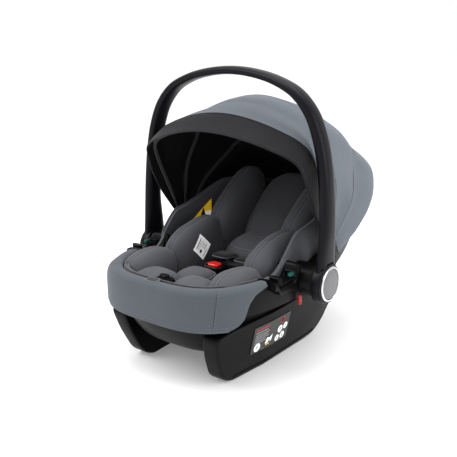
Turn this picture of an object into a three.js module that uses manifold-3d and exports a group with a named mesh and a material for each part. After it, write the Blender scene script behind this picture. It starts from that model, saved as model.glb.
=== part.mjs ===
// Infant car seat: moulded bucket shell on rocker runners, soft insert, harness, carrying handle
// and folding canopy. Millimetres. +Z up, -Y foot end, +Y head end, X across the seat.
// Lengths below count Y from the handle's pivot; the whole seat is then moved so that the
// origin is under the middle of its length.
import * as THREE from "three";
import Module from "manifold-3d";

const wasm = await Module();
wasm.setup();

// ---- driving dimensions ----
const PIVOT_TO_MIDDLE = 51; // how far the handle's pivot is from the middle, towards the foot end
const PIVOT_Z = 164; // height of the handle's pivot
const RIM_FOOT_Z = 182; // height of the rim at the foot end
const RIM_RISE = 92; // how much higher the rim is at the head end
const SEAT_HALF_WIDTH = 166; // shell half width under the rim
const FOOT_Y = -234; // shell wall at the foot end
const HEAD_Y = 329.8; // shell wall at the head end
const MIDDLE_Y = 60; // where the plan outline is widest
const WALL = 4.5; // shell wall thickness
const RUNNER_INNER_X = 84;
const RUNNER_OUTER_X = 117;
const LEAN = 0.21; // how far the runners and the lower sides lean out with height
const HUB_OUTER_X = 217; // outer face of the handle's hubs
const HUB_INNER_X = 197; // inner face of the handle's hubs
const HUB_RADIUS = 37;
const BUTTON_RADIUS = 27.5;
const PIN_RADIUS = 9;
const CANOPY_Y = 60; // canopy pivot
const CANOPY_Z = 208;
const BRIM_ANGLE = 122.5; // degrees from the head direction, round the canopy pivot
const BRIM_BACK_ANGLE = 111.2;
const FRONT_BOW_ANGLE = 118;
const MIDDLE_BOW_ANGLE = 84;
const REAR_BOW_ANGLE = 47;
const FABRIC = 2; // canopy fabric thickness
const AROUND = 32; // points round the plan outline

// ---- colours ----
const CHARCOAL = { color: 0x17161a, roughness: 0.42, metalness: 0 };
const BLACK = { color: 0x0d0d0f, roughness: 0.5, metalness: 0 };
const FOAM = { color: 0xd8d8d4, roughness: 0.9, metalness: 0 };
const SLATE = { color: 0x5b6670, roughness: 0.85, metalness: 0 };
const CANOPY_GREY = { color: 0x8b96a1, roughness: 0.8, metalness: 0 };
const DARK_FABRIC = { color: 0x2f3236, roughness: 0.9, metalness: 0 };
const BRIM_FABRIC = { color: 0x131316, roughness: 0.85, metalness: 0 };
const WEBBING = { color: 0x101012, roughness: 0.8, metalness: 0 };
const RED = { color: 0xc41a12, roughness: 0.35, metalness: 0 };
const TEAL = { color: 0x0d5c4a, roughness: 0.5, metalness: 0 };
const DISC_GREY = { color: 0x4a4b50, roughness: 0.45, metalness: 0.1 };
const CHROME = { color: 0xd9d9dc, roughness: 0.12, metalness: 1 };
const STEEL = { color: 0xa8a8aa, roughness: 0.3, metalness: 1 };
const WHITE = { color: 0xe6e6e2, roughness: 0.7, metalness: 0 };
const YELLOW = { color: 0xe0b020, roughness: 0.7, metalness: 0 };

// ---- helpers ----
const V = (x, y, z) => new THREE.Vector3(x, y, z);
const rad = THREE.MathUtils.degToRad;
const lerp = THREE.MathUtils.lerp;
const smooth = (t) => THREE.MathUtils.smoothstep(t, 0, 1);
const power = (v, e) => Math.sign(v) * Math.abs(v) ** e;

const rimZ = (y) => RIM_FOOT_Z + RIM_RISE * smooth((y + 20) / 360);

// A geometry from vertices and faces, turned to face outwards.
function meshOf(points, faces) {
  let volume = 0;
  for (const [a, b, c] of faces) {
    volume += points[a].dot(V(0, 0, 0).crossVectors(points[b], points[c]));
  }
  const index = faces.flatMap(([a, b, c]) => (volume < 0 ? [a, c, b] : [a, b, c]));
  const g = new THREE.BufferGeometry();
  g.setFromPoints(points);
  g.setIndex(index);
  return g;
}

// Rings of points joined one to the next. Ends are closed across (point i to its mirror),
// or the last ring joins the first.
function loft(rings, { loop = false } = {}) {
  const n = rings[0].length;
  const faces = [];
  const rows = loop ? rings.length : rings.length - 1;
  for (let r = 0; r < rows; r++) {
    for (let i = 0; i < n; i++) {
      const a = r * n + i;
      const b = r * n + ((i + 1) % n);
      const c = ((r + 1) % rings.length) * n + i;
      const d = ((r + 1) % rings.length) * n + ((i + 1) % n);
      faces.push([a, b, d], [a, d, c]);
    }
  }
  if (!loop) {
    const last = (rings.length - 1) * n;
    for (let i = 0; i < n / 2 - 1; i++) {
      const j = n - 1 - i;
      faces.push([i + 1, i, j], [i + 1, j, j - 1]);
      faces.push([last + i, last + i + 1, last + j], [last + i + 1, last + j - 1, last + j]);
    }
  }
  return meshOf(rings.flat(), faces);
}

function toSolid(geometry) {
  const g = geometry.index ? geometry.toNonIndexed() : geometry.clone();
  const position = g.getAttribute("position");
  const seen = new Map();
  const vertices = [];
  const faces = [];
  for (let i = 0; i < position.count; i++) {
    const p = [position.getX(i), position.getY(i), position.getZ(i)];
    const key = p.map((v) => Math.round(v * 1e3)).join();
    if (!seen.has(key)) {
      seen.set(key, vertices.length / 3);
      vertices.push(...p);
    }
    faces.push(seen.get(key));
  }
  const kept = [];
  for (let i = 0; i < faces.length; i += 3) {
    const [a, b, c] = faces.slice(i, i + 3);
    if (a !== b && b !== c && c !== a) {
      kept.push(a, b, c);
    }
  }
  return new wasm.Manifold(
    new wasm.Mesh({
      numProp: 3,
      vertProperties: new Float32Array(vertices),
      triVerts: new Uint32Array(kept),
    }),
  );
}

function toGeometry(solid) {
  const m = solid.getMesh();
  const g = new THREE.BufferGeometry();
  const xyz = new Float32Array((m.vertProperties.length / m.numProp) * 3);
  for (let i = 0; i < xyz.length / 3; i++) {
    for (let k = 0; k < 3; k++) {
      xyz[i * 3 + k] = m.vertProperties[i * m.numProp + k];
    }
  }
  g.setAttribute("position", new THREE.BufferAttribute(xyz, 3));
  g.setIndex(new THREE.BufferAttribute(new Uint32Array(m.triVerts), 1));
  return g;
}

const join = (...g) => toGeometry(g.map(toSolid).reduce((a, b) => a.add(b)));
const cut = (g, ...tools) => toGeometry(tools.map(toSolid).reduce((a, b) => a.subtract(b), toSolid(g)));

function box(x0, x1, y0, y1, z0, z1) {
  const g = new THREE.BoxGeometry(Math.abs(x1 - x0), y1 - y0, z1 - z0);
  return g.translate((x0 + x1) / 2, (y0 + y1) / 2, (z0 + z1) / 2);
}

// A box with rounded vertical or lying edges, pushed out along one axis.
function rounded(x0, x1, y0, y1, z0, z1, r, bevel = 1) {
  const w = x1 - x0 - 2 * bevel;
  const h = y1 - y0 - 2 * bevel;
  const s = new THREE.Shape();
  s.moveTo(-w / 2 + r, -h / 2);
  s.lineTo(w / 2 - r, -h / 2);
  s.quadraticCurveTo(w / 2, -h / 2, w / 2, -h / 2 + r);
  s.lineTo(w / 2, h / 2 - r);
  s.quadraticCurveTo(w / 2, h / 2, w / 2 - r, h / 2);
  s.lineTo(-w / 2 + r, h / 2);
  s.quadraticCurveTo(-w / 2, h / 2, -w / 2, h / 2 - r);
  s.lineTo(-w / 2, -h / 2 + r);
  s.quadraticCurveTo(-w / 2, -h / 2, -w / 2 + r, -h / 2);
  const g = new THREE.ExtrudeGeometry(s, {
    depth: z1 - z0 - 2 * bevel,
    bevelThickness: bevel,
    bevelSize: bevel,
    bevelSegments: 1,
    curveSegments: 1,
  });
  return g.translate((x0 + x1) / 2, (y0 + y1) / 2, z0 + bevel);
}

// A round piece on an axis along X through (y, z), from a profile of [x, radius] pairs.
function turned(profile, y, z, segments = 32) {
  const rings = profile.map(([x, r]) => {
    const ring = [];
    for (let i = 0; i < segments; i++) {
      const a = (i / segments) * 2 * Math.PI;
      ring.push(V(x, y + r * Math.cos(a), z + r * Math.sin(a)));
    }
    return ring;
  });
  return rings;
}
const disc = (profile, y, z, segments) => loft(turned(profile, y, z, segments));
const ringShape = (profile, y, z, segments) => loft(turned(profile, y, z, segments), { loop: true });

// A soft cushion: a rounded block with half sizes a, b, c.
function pillow(centre, a, b, c, tilt = [0, 0, 0], square = 0.62, u = 14, v = 7) {
  const rings = [];
  for (let j = 0; j <= v; j++) {
    const q = lerp(-0.97, 0.97, j / v) * (Math.PI / 2);
    const ring = [];
    for (let i = 0; i < u; i++) {
      const p = (i / u) * 2 * Math.PI;
      const r = power(Math.cos(q), 0.8);
      const x = a * r * power(Math.cos(p), square);
      const y = b * r * power(Math.sin(p), square);
      ring.push(V(x, y, c * power(Math.sin(q), 0.8)));
    }
    rings.push(ring);
  }
  const g = loft(rings);
  g.applyMatrix4(new THREE.Matrix4().makeRotationFromEuler(new THREE.Euler(...tilt.map(rad), "ZYX")));
  return g.translate(...centre);
}

// A flat strap through points, its width across X.
function strap(points, width, thick) {
  const curve = new THREE.CatmullRomCurve3(points.map((p) => V(...p)));
  const rings = [];
  const steps = 3 * (points.length - 1);
  for (let i = 0; i <= steps; i++) {
    const p = curve.getPoint(i / steps);
    const t = curve.getTangent(i / steps);
    const n = V(0, -t.z, t.y).normalize().multiplyScalar(thick / 2);
    const w = V(width / 2, 0, 0);
    rings.push([
      p.clone().sub(w).add(n),
      p.clone().add(w).add(n),
      p.clone().add(w).sub(n),
      p.clone().sub(w).sub(n),
    ]);
  }
  return loft(rings);
}

const root = new THREE.Group();
const seat = new THREE.Group();
seat.position.y = -PIVOT_TO_MIDDLE;
root.add(seat);

function add(name, geometry, finish) {
  const material = new THREE.MeshStandardMaterial(finish);
  const mesh = new THREE.Mesh(geometry, material);
  mesh.name = name;
  seat.add(mesh);
  return mesh;
}

const mirrored = (g) => {
  const flipped = g.clone().applyMatrix4(new THREE.Matrix4().makeScale(-1, 1, 1));
  const m = flipped.index ? flipped.toNonIndexed() : flipped;
  const p = m.getAttribute("position");
  const faces = [];
  const points = [];
  for (let i = 0; i < p.count; i++) {
    points.push(V(p.getX(i), p.getY(i), p.getZ(i)));
    if (i % 3 === 2) {
      faces.push([i - 2, i, i - 1]);
    }
  }
  const out = new THREE.BufferGeometry().setFromPoints(points);
  out.setIndex(faces.flat());
  return out;
};

function addPair(name, geometry, finish) {
  add(name + "_right", geometry, finish);
  add(name + "_left", mirrored(geometry), finish);
}

// ---- plan outlines ----
// A point of the plan outline: squarer towards the foot end, rounder towards the head end.
function plan(angle, level, out = 0) {
  const c = Math.cos(angle);
  const s = Math.sin(angle);
  const e = s < 0 ? 2 / 3.4 : 2 / 2.2;
  const reach = s < 0 ? MIDDLE_Y - level.foot + out : level.head - MIDDLE_Y + out;
  const x = (level.half + out) * power(c, e);
  const y = MIDDLE_Y + reach * power(s, e);
  return [x, y];
}

const slope = (a, b, level) => (y) => lerp(a, b, (y - level.foot) / (level.head - level.foot));

function makeLevel(half, foot, head, z) {
  const level = { half, foot, head };
  level.z = typeof z === "function" ? z : slope(z[0], z[1], level);
  return level;
}

// Outside of the shell, from its top edge down to the middle of its underside.
const SHELL_LEVELS = [
  makeLevel(SEAT_HALF_WIDTH, FOOT_Y, HEAD_Y, (y) => rimZ(y) - 7),
  makeLevel(160, -229, 318, (y) => rimZ(y) - 42),
  makeLevel(142, -222, 294, [112, 156]),
  makeLevel(133, -206, 258, [82, 104]),
  makeLevel(124, -182, 212, [56, 68]),
  makeLevel(95, -140, 165, [47, 50]),
  makeLevel(34, -60, 100, [46, 47]),
];
const SHELL_IN = [[WALL, 0], [WALL, 0], [WALL, 1], [4, 2.5], [3, 4], [2, WALL], [0, WALL]];

// Outside of the seat cover: steeper and shallower than the shell, with foam between.
const COVER_LEVELS = [
  makeLevel(149, -217, 309, (y) => rimZ(y) + 3),
  makeLevel(144, -212, 296, (y) => rimZ(y) - 28),
  makeLevel(124, -203, 252, (y) => rimZ(y) - 58),
  makeLevel(112, -192, 190, [98, 142]),
  makeLevel(98, -175, 122, [84, 108]),
  makeLevel(70, -140, 84, [80, 84]),
  makeLevel(26, -60, 60, [79, 80]),
];
const COVER_IN = [[8, 0], [8, 1], [8, 3], [6, 6], [4, 8], [2, 8], [0, 8]];
const FOAM_GAP = [[1.4, 0], [2, -0.5], [2.4, -2], [2.4, -2.4], [2, -2.6], [1.4, -3], [0, -3]];

function outlineRing(level, out, up, count = AROUND) {
  const ring = [];
  for (let i = 0; i < count; i++) {
    const a = ((i + 0.5) / count) * 2 * Math.PI - Math.PI / 2;
    const [x, y] = plan(a, level, out);
    ring.push(V(x, y, level.z(y) + up));
  }
  return ring;
}

// A bowl between two surfaces given by levels.
function bowl(outer, inner) {
  return loft([...outer].reverse().concat(inner));
}

// ---- shell ----
const shellOuter = SHELL_LEVELS.map((l) => outlineRing(l, 0, 0));
const shellInner = SHELL_LEVELS.map((l, i) => outlineRing(l, -SHELL_IN[i][0], SHELL_IN[i][1]));

// A rocker runner: side profile pushed across, then leaned out with height.
function runner() {
  const s = new THREE.Shape();
  s.moveTo(-150, 0);
  s.lineTo(85, 0);
  s.quadraticCurveTo(128, 3, 148, 24);
  s.lineTo(188, 108);
  s.lineTo(150, 116);
  s.lineTo(-170, 108);
  s.lineTo(-208, 104);
  s.quadraticCurveTo(-186, 22, -150, 0);
  const g = new THREE.ExtrudeGeometry(s, {
    depth: RUNNER_OUTER_X - RUNNER_INNER_X - 6,
    bevelThickness: 3,
    bevelSize: 3,
    bevelOffset: -3,
    bevelSegments: 1,
    curveSegments: 5,
  });
  const p = g.getAttribute("position");
  for (let i = 0; i < p.count; i++) {
    const along = p.getX(i);
    const up = p.getY(i);
    const across = p.getZ(i) + RUNNER_INNER_X + 3;
    const narrowing = along < -60 ? 0.085 * (-60 - along) : 0;
    p.setXYZ(i, across + LEAN * up - narrowing, along, up);
  }
  return g;
}
const runners = cut(join(runner(), mirrored(runner())), loft(shellInner));
add("outer_shell", join(bowl(shellOuter, shellInner), runners), CHARCOAL);

// ---- foam liner and seat cover ----
const linerOuter = SHELL_LEVELS.map((l, i) => {
  const [side, up] = SHELL_IN[i];
  const down = i === 0 ? -4 : 0;
  const gap = i === 1 || i === 2 ? 6 : 2.4;
  return outlineRing(l, -side - gap, up + (i < 2 ? down : 2.4));
});
const linerInner = COVER_LEVELS.map((l, i) => {
  const [side, up] = FOAM_GAP[i];
  return outlineRing(l, side, up - (i === 0 ? 13 : 0));
});
add("foam_liner", bowl(linerOuter, linerInner), FOAM);

// The cover's edge stands up beside the body as a flap, higher than the rim.
const FLAP = 52;
const flap = (y) => FLAP * smooth((y + 62) / 80) * (1 - smooth((y - 130) / 170));
const COVER_TOP = makeLevel(149, -217, 309, (y) => rimZ(y) + 3 + flap(y));
const coverShape = [COVER_TOP, ...COVER_LEVELS.slice(1)];
const coverOuter = coverShape.map((l) => outlineRing(l, 0, 0));
const coverInner = coverShape.map((l, i) => outlineRing(l, -COVER_IN[i][0], COVER_IN[i][1]));
add("seat_cover", bowl(coverOuter, coverInner), DARK_FABRIC);

// ---- upper rim ----
// An upside-down U round the top of the shell: outer skirt, top flange, short inner lip.
const RIM_PROFILE = [[6, -44], [6.5, -8], [3, 0], [-12, 0], [-15.5, -2], [-15.5, -5], [2.5, -5], [2.5, -44]];
function rimRing() {
  const rings = [];
  const level = SHELL_LEVELS[0];
  for (let i = 0; i < AROUND; i++) {
    const a = ((i + 0.5) / AROUND) * 2 * Math.PI - Math.PI / 2;
    rings.push(
      RIM_PROFILE.map(([out, up]) => {
        const [x, y] = plan(a, level, out);
        return V(x, y, rimZ(y) + up);
      }),
    );
  }
  return loft(rings, { loop: true });
}
const boss = disc([[168.6, 30], [190, 30], [195.6, 26]], 0, PIVOT_Z, 22);
const bossHole = disc([[160, PIN_RADIUS + 0.3], [200, PIN_RADIUS + 0.3]], 0, PIVOT_Z, 22);
const GUIDE_Y = -71;
const notch = box(146, 182, GUIDE_Y - 30, GUIDE_Y + 30, 177.4, 198);
add(
  "upper_rim",
  cut(
    join(rimRing(), boss, mirrored(boss)),
    bossHole,
    mirrored(bossHole),
    notch,
    mirrored(notch),
  ),
  BLACK,
);

// ---- belt guides ----
function beltGuide() {
  const base = rounded(151.5, 176, GUIDE_Y - 29.4, GUIDE_Y + 29.4, 178.2, 182.4, 3);
  const front = rounded(151.5, 176, GUIDE_Y - 29.4, GUIDE_Y - 19, 178.2, 193, 3);
  const back = rounded(151.5, 176, GUIDE_Y + 19, GUIDE_Y + 29.4, 178.2, 193, 3);
  return join(base, front, back);
}
addPair("belt_guide", beltGuide(), BLACK);
addPair("belt_hook", rounded(168, 175.5, GUIDE_Y + 5, GUIDE_Y + 18.7, 186.5, 192, 2), TEAL);

// ---- foot rim cover ----
const BAND = [
  [9, -64], [11, -48], [11, -8], [8, 3.4], [0, 7.4], [-14, 6],
  [-14, 2.2], [0, 3.2], [5.4, 1], [7.4, -6], [7.4, -48], [7, -64],
];
function footBand() {
  const level = SHELL_LEVELS[0];
  const rings = [];
  const steps = 18;
  for (let i = 0; i <= steps; i++) {
    const a = rad(lerp(-34, -146, i / steps));
    rings.push(
      BAND.map(([out, up]) => {
        const [x, y] = plan(a, level, out);
        return V(x, y, rimZ(y) + up);
      }),
    );
  }
  return loft(rings);
}
add("foot_cover", footBand(), SLATE);

// ---- insert cushions ----
// The room inside the cover, and on above it.
const roomRings = coverShape.map((l, i) => outlineRing(l, -COVER_IN[i][0] - 0.5, COVER_IN[i][1] + 0.5));
const seatRoom = loft([outlineRing(COVER_TOP, -8.5, 150), ...roomRings]);
const padsMade = [];

// A cushion pressed into shape by the cover, by the cushions laid before it and by hard parts.
function cushion(name, { at, half, tilt = [0, 0, 0], square = 0.7, pair = false, round = [] }) {
  const grown = (p, side) => {
    const g = pillow(p.at, ...p.half.map((v) => v + 0.5), p.tilt, p.square);
    return side < 0 ? mirrored(g) : g;
  };
  let s = toSolid(pillow(at, ...half, tilt, square)).intersect(toSolid(seatRoom));
  s = s.intersect(toSolid(mirrored(seatRoom)));
  for (const p of padsMade) {
    s = s.subtract(toSolid(grown(p, 1)));
    s = p.pair ? s.subtract(toSolid(grown(p, -1))) : s;
  }
  for (const g of round) {
    s = s.subtract(toSolid(g));
  }
  const whole = s.decompose().sort((p, q) => q.volume() - p.volume())[0];
  padsMade.push({ at, half, tilt, square, pair });
  (pair ? addPair : add)(name, toGeometry(whole), DARK_FABRIC);
}
const adjusterRoom = box(-18, 18, -212, -173, 90, 200);
const harnessRoom = box(-53, 53, -40, 26.5, 95, 175);
cushion("insert_seat_pad", { at: [0, -72, 103], half: [72, 84, 14], tilt: [3, 0, 0], square: 0.62 });
cushion("thigh_pad", {
  at: [44, -172, 152],
  half: [43, 36, 29],
  tilt: [6, 0, 0],
  pair: true,
  round: [adjusterRoom],
});
cushion("seat_front_pad", { at: [0, -113, 141], half: [38, 40, 33] });
cushion("hip_pad", { at: [100, -128, 157], half: [30, 58, 40], pair: true });
cushion("lumbar_pad", { at: [0, 90, 148], half: [64, 62, 46], tilt: [4, 0, 0], round: [harnessRoom] });
cushion("bolster", {
  at: [94, 8, 164],
  half: [30, 82, 62],
  tilt: [12, 0, 0],
  pair: true,
  round: [harnessRoom],
});
cushion("back_pad", { at: [0, 180, 222], half: [64, 100, 34], tilt: [42, 0, 0], square: 0.62 });
cushion("wing", { at: [91, 142, 228], half: [32, 104, 50], tilt: [38, 0, -3], pair: true });

// ---- harness ----
const BUCKLE_Y = -52;
const BUCKLE_TOP = 172;
function buckle() {
  const body = rounded(-23, 23, BUCKLE_Y - 20, BUCKLE_Y + 18, 150, BUCKLE_TOP, 8, 2);
  const pocket = box(-13.5, 13.5, BUCKLE_Y - 15, BUCKLE_Y + 7, BUCKLE_TOP - 9, BUCKLE_TOP + 5);
  const slotRight = box(4, 21, BUCKLE_Y + 6, BUCKLE_Y + 30, 154, 160.5);
  const slotLeft = box(-21, -4, BUCKLE_Y + 6, BUCKLE_Y + 30, 154, 160.5);
  return cut(body, pocket, slotRight, slotLeft);
}
add("buckle_housing", buckle(), BLACK);
add("buckle_button", rounded(-12.5, 12.5, BUCKLE_Y - 14, BUCKLE_Y + 6, BUCKLE_TOP - 4, BUCKLE_TOP + 3, 4), RED);
add("crotch_pad", rounded(-24, 24, BUCKLE_Y - 8, BUCKLE_Y + 4, 120, 149.4, 4, 1.5), DARK_FABRIC);

function tongue() {
  const blade = box(6, 19, BUCKLE_Y + 8, BUCKLE_Y + 30, 155.5, 158.5);
  const head = rounded(3, 35, BUCKLE_Y + 20, BUCKLE_Y + 38, 152, 162, 4, 1.5);
  return join(blade, head);
}
addPair("tongue", tongue(), BLACK);
const strapPath = [[21, -13.2, 157], [23, -1, 151], [27, 11, 138], [29, 18, 118], [30, 19, 99]];
addPair("harness_strap", strap(strapPath, 25, 2), WEBBING);
addPair("strap_pad", rounded(8, 46, 0, 33, 0, 8, 6, 2).rotateX(rad(-10)).translate(0, -9, 167), DARK_FABRIC);

const ADJUSTER_Y = -196;
add("adjuster_housing", rounded(-17, 17, ADJUSTER_Y - 10, ADJUSTER_Y + 10, 174, 184, 4), BLACK);
add("adjuster_button", rounded(-10, 10, ADJUSTER_Y - 6, ADJUSTER_Y + 6, 187, 190.5, 3), BLACK);
const pullPath = [[0, ADJUSTER_Y + 11.5, 184], [0, -176, 168], [0, -184, 140], [0, -183, 116]];
add("adjuster_strap", strap(pullPath, 20, 2), WEBBING);

// ---- handle ----
// Half of the arch's centre line, then its section: across the arch, along the seat.
const ARCH_LINE = [
  [206.5, PIVOT_Z, 18, 60],
  [206.8, 214, 19.6, 50],
  [208, 262, 21, 40],
  [205, 320, 21, 37],
  [199, 372, 21, 36],
  [188, 420, 21, 36],
  [169, 463, 20, 36],
  [139, 495, 18, 36],
  [100, 514, 16, 36],
  [52, 526, 15.4, 36],
  [0, 530.4, 15.2, 36],
];
function handle() {
  const half = ARCH_LINE.map((p) => [...p]);
  const whole = half.concat(half.slice(0, -1).reverse().map(([x, z, t, d]) => [-x, z, t, d]));
  const line = new THREE.CatmullRomCurve3(whole.map(([x, z]) => V(x, 0, z)));
  const sizes = new THREE.CatmullRomCurve3(whole.map(([, , t, d]) => V(t, d, 0)));
  const rings = [];
  const steps = 28;
  for (let i = 0; i <= steps; i++) {
    const p = line.getPoint(i / steps);
    const t = line.getTangent(i / steps);
    const s = sizes.getPoint(i / steps);
    const n = V(t.z, 0, -t.x);
    const ring = [];
    for (let k = 0; k < 8; k++) {
      const a = ((k + 0.5) / 8) * 2 * Math.PI;
      const across = (s.x / 2) * power(Math.cos(a), 0.7);
      const along = (s.y / 2) * power(Math.sin(a), 0.8);
      ring.push(V(p.x + n.x * across, along, p.z + n.z * across));
    }
    rings.push(ring);
  }
  return loft(rings);
}
const SOCKET_RADIUS = BUTTON_RADIUS + 0.5;
const hubProfile = [
  [HUB_INNER_X, HUB_RADIUS - 3],
  [HUB_INNER_X + 2, HUB_RADIUS],
  [HUB_OUTER_X - 3, HUB_RADIUS],
  [HUB_OUTER_X, HUB_RADIUS - 4],
];
const hub = disc(hubProfile, 0, PIVOT_Z, 24);
const hubBore = disc([[180, PIN_RADIUS + 0.35], [212, PIN_RADIUS + 0.35]], 0, PIVOT_Z, 22);
const socket = disc([[204.5, SOCKET_RADIUS], [222, SOCKET_RADIUS]], 0, PIVOT_Z, 24);
add(
  "handle_frame",
  cut(join(handle(), hub, mirrored(hub)), hubBore, mirrored(hubBore), socket, mirrored(socket)),
  CHARCOAL,
);
addPair("pivot_pin", disc([[168.9, PIN_RADIUS], [203.6, PIN_RADIUS]], 0, PIVOT_Z, 22), STEEL);
addPair(
  "release_button",
  disc([[212.8, BUTTON_RADIUS], [218.6, BUTTON_RADIUS], [220, BUTTON_RADIUS - 3], [220.6, 8]], 0, PIVOT_Z, 24),
  DISC_GREY,
);
addPair(
  "trim_ring",
  ringShape([[217.4, 28.2], [217.4, 32], [219.4, 31.6], [220.2, 30], [220.2, 28.2]], 0, PIVOT_Z, 24),
  CHROME,
);

// A conical-free coil spring on the hub axis, between the pin's head and the button.
function coil(x0, x1, radius, wire, turns) {
  const rings = [];
  const steps = turns * 8;
  for (let i = 0; i <= steps; i++) {
    const a = (i / steps) * turns * 2 * Math.PI;
    const x = lerp(x0, x1, i / steps);
    const ring = [];
    for (let k = 0; k < 4; k++) {
      const b = (k / 4) * 2 * Math.PI;
      const r = radius + wire * Math.cos(b);
      ring.push(V(x + wire * Math.sin(b), r * Math.cos(a), PIVOT_Z + r * Math.sin(a)));
    }
    rings.push(ring);
  }
  return loft(rings);
}
addPair("button_spring", coil(205.9, 211.0, 17, 0.8, 3), STEEL);

// ---- canopy ----
// Half arch in a bow's own plane: half width against distance from the pivot.
const ARCH = [
  [184, 26], [185, 80], [184, 130], [178, 176], [167, 216], [148, 233],
  [124, 245], [95, 257], [62, 267], [30, 273], [0, 275],
];
const archWhole = ARCH.concat(ARCH.slice(0, -1).reverse().map(([x, d]) => [-x, d]));
const archCurve = new THREE.CatmullRomCurve3(archWhole.map(([x, d]) => V(x, d, 0)), false, "centripetal");

// The arch at each plane angle: [angle, how wide, how high above the hinge].
const TAPER = [
  [47, 0.88, 1],
  [65, 0.905, 1.005],
  [84, 0.89, 0.996],
  [98, 0.92, 0.97],
  [BRIM_BACK_ANGLE, 1.035, 0.964],
  [BRIM_ANGLE, 1.04, 0.948],
];
const BRIM_FLARE = 6.5; // degrees the brim's front edge turns down towards the hinge
function taper(angle) {
  const i = Math.max(1, TAPER.findIndex(([a]) => angle <= a));
  const [a0, w0, h0] = TAPER[i - 1];
  const [a1, w1, h1] = TAPER[i];
  const t = smooth((angle - a0) / (a1 - a0));
  return [lerp(w0, w1, t), lerp(h0, h1, t)];
}
// A point of the arch, its curve point p and tangent t, at a depth under the surface.
function archPoint(p, t, angle, depth) {
  const [wide, high] = taper(angle);
  const up = smooth((p.y - 100) / 110);
  return [(p.x - t.y * depth) * (1 + up * (wide - 1)), (p.y + t.x * depth) * (1 + up * (high - 1))];
}

// A point of the canopy surface: u along the arch, angle of its plane, depth under the surface.
function canopyPoint(u, angle, depth) {
  const p = archCurve.getPoint(u);
  const [x, d] = archPoint(p, archCurve.getTangent(u), angle, depth);
  const across = THREE.MathUtils.clamp((angle - BRIM_BACK_ANGLE) / (BRIM_ANGLE - BRIM_BACK_ANGLE), 0, 1);
  const a = rad(angle + BRIM_FLARE * across * smooth((225 - p.y) / 150));
  return V(x, CANOPY_Y + d * Math.cos(a), CANOPY_Z + d * Math.sin(a));
}

const ACROSS = 20;
function canopyShell(from, to, steps, depth0, depth1) {
  const rings = [];
  for (let i = 0; i <= ACROSS; i++) {
    const u = i / ACROSS;
    const outer = [];
    const inner = [];
    for (let j = 0; j <= steps; j++) {
      const angle = lerp(from, to, j / steps);
      outer.push(canopyPoint(u, angle, depth0));
      inner.push(canopyPoint(u, angle, depth1));
    }
    rings.push(outer.concat(inner.reverse()));
  }
  return loft(rings);
}
add("canopy_brim", canopyShell(BRIM_ANGLE, BRIM_BACK_ANGLE + 0.2, 2, 0, 3), BRIM_FABRIC);
const frontPanel = canopyShell(BRIM_BACK_ANGLE - 0.2, MIDDLE_BOW_ANGLE + 0.2, 4, 0.4, 0.4 + FABRIC);
const middlePanel = canopyShell(MIDDLE_BOW_ANGLE - 0.2, REAR_BOW_ANGLE + 0.2, 5, 0.4, 0.4 + FABRIC);
add("canopy_front_panel", frontPanel, CANOPY_GREY);
add("canopy_middle_panel", middlePanel, CANOPY_GREY);

// The rear skirt runs from the rear bow down to a hem that hangs outside the head end of the rim.
const HEM_OUT = 14;
const HEM_DROP = 13;
const SKIRT_FULLNESS = 46;
const SKIRT_HALF_WIDTH = 186; // the skirt's sides stay inside the handle's arms
function hemPoint(u, inset) {
  const [x, y] = plan(rad(lerp(6, 174, u)), SHELL_LEVELS[0], HEM_OUT - inset);
  return V(x, y, rimZ(y) - HEM_DROP);
}
function drawnIn(p, depth) {
  const over = (Math.abs(p.x) + depth - SKIRT_HALF_WIDTH + 12) / 12;
  if (over > 0) p.x -= Math.sign(p.x) * 12 * (over - Math.tanh(over));
  return p;
}
function rearSkirt() {
  const rings = [];
  const steps = 7;
  for (let i = 0; i <= ACROSS; i++) {
    const u = i / ACROSS;
    const middle = Math.exp(-(((u - 0.5) / 0.16) ** 2));
    const fullness = SKIRT_FULLNESS * Math.sin(Math.PI * u) ** 0.6 * (1 - 0.3 * middle);
    const sides = [0.4, 0.4 + FABRIC].map((depth) => {
      const top = canopyPoint(u, REAR_BOW_ANGLE - 0.3, depth);
      const low = hemPoint(u, depth);
      const out = [];
      for (let j = 0; j <= steps; j++) {
        const p = top.clone().lerp(low, j / steps);
        const away = p.clone().sub(V(0, 120, 240)).normalize();
        p.addScaledVector(away, fullness * Math.sin(Math.PI * (j / steps) ** 1.35));
        out.push(drawnIn(p, depth));
      }
      return out;
    });
    rings.push(sides[0].concat(sides[1].reverse()));
  }
  return loft(rings);
}
add("canopy_rear_skirt", rearSkirt(), CANOPY_GREY);

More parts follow.
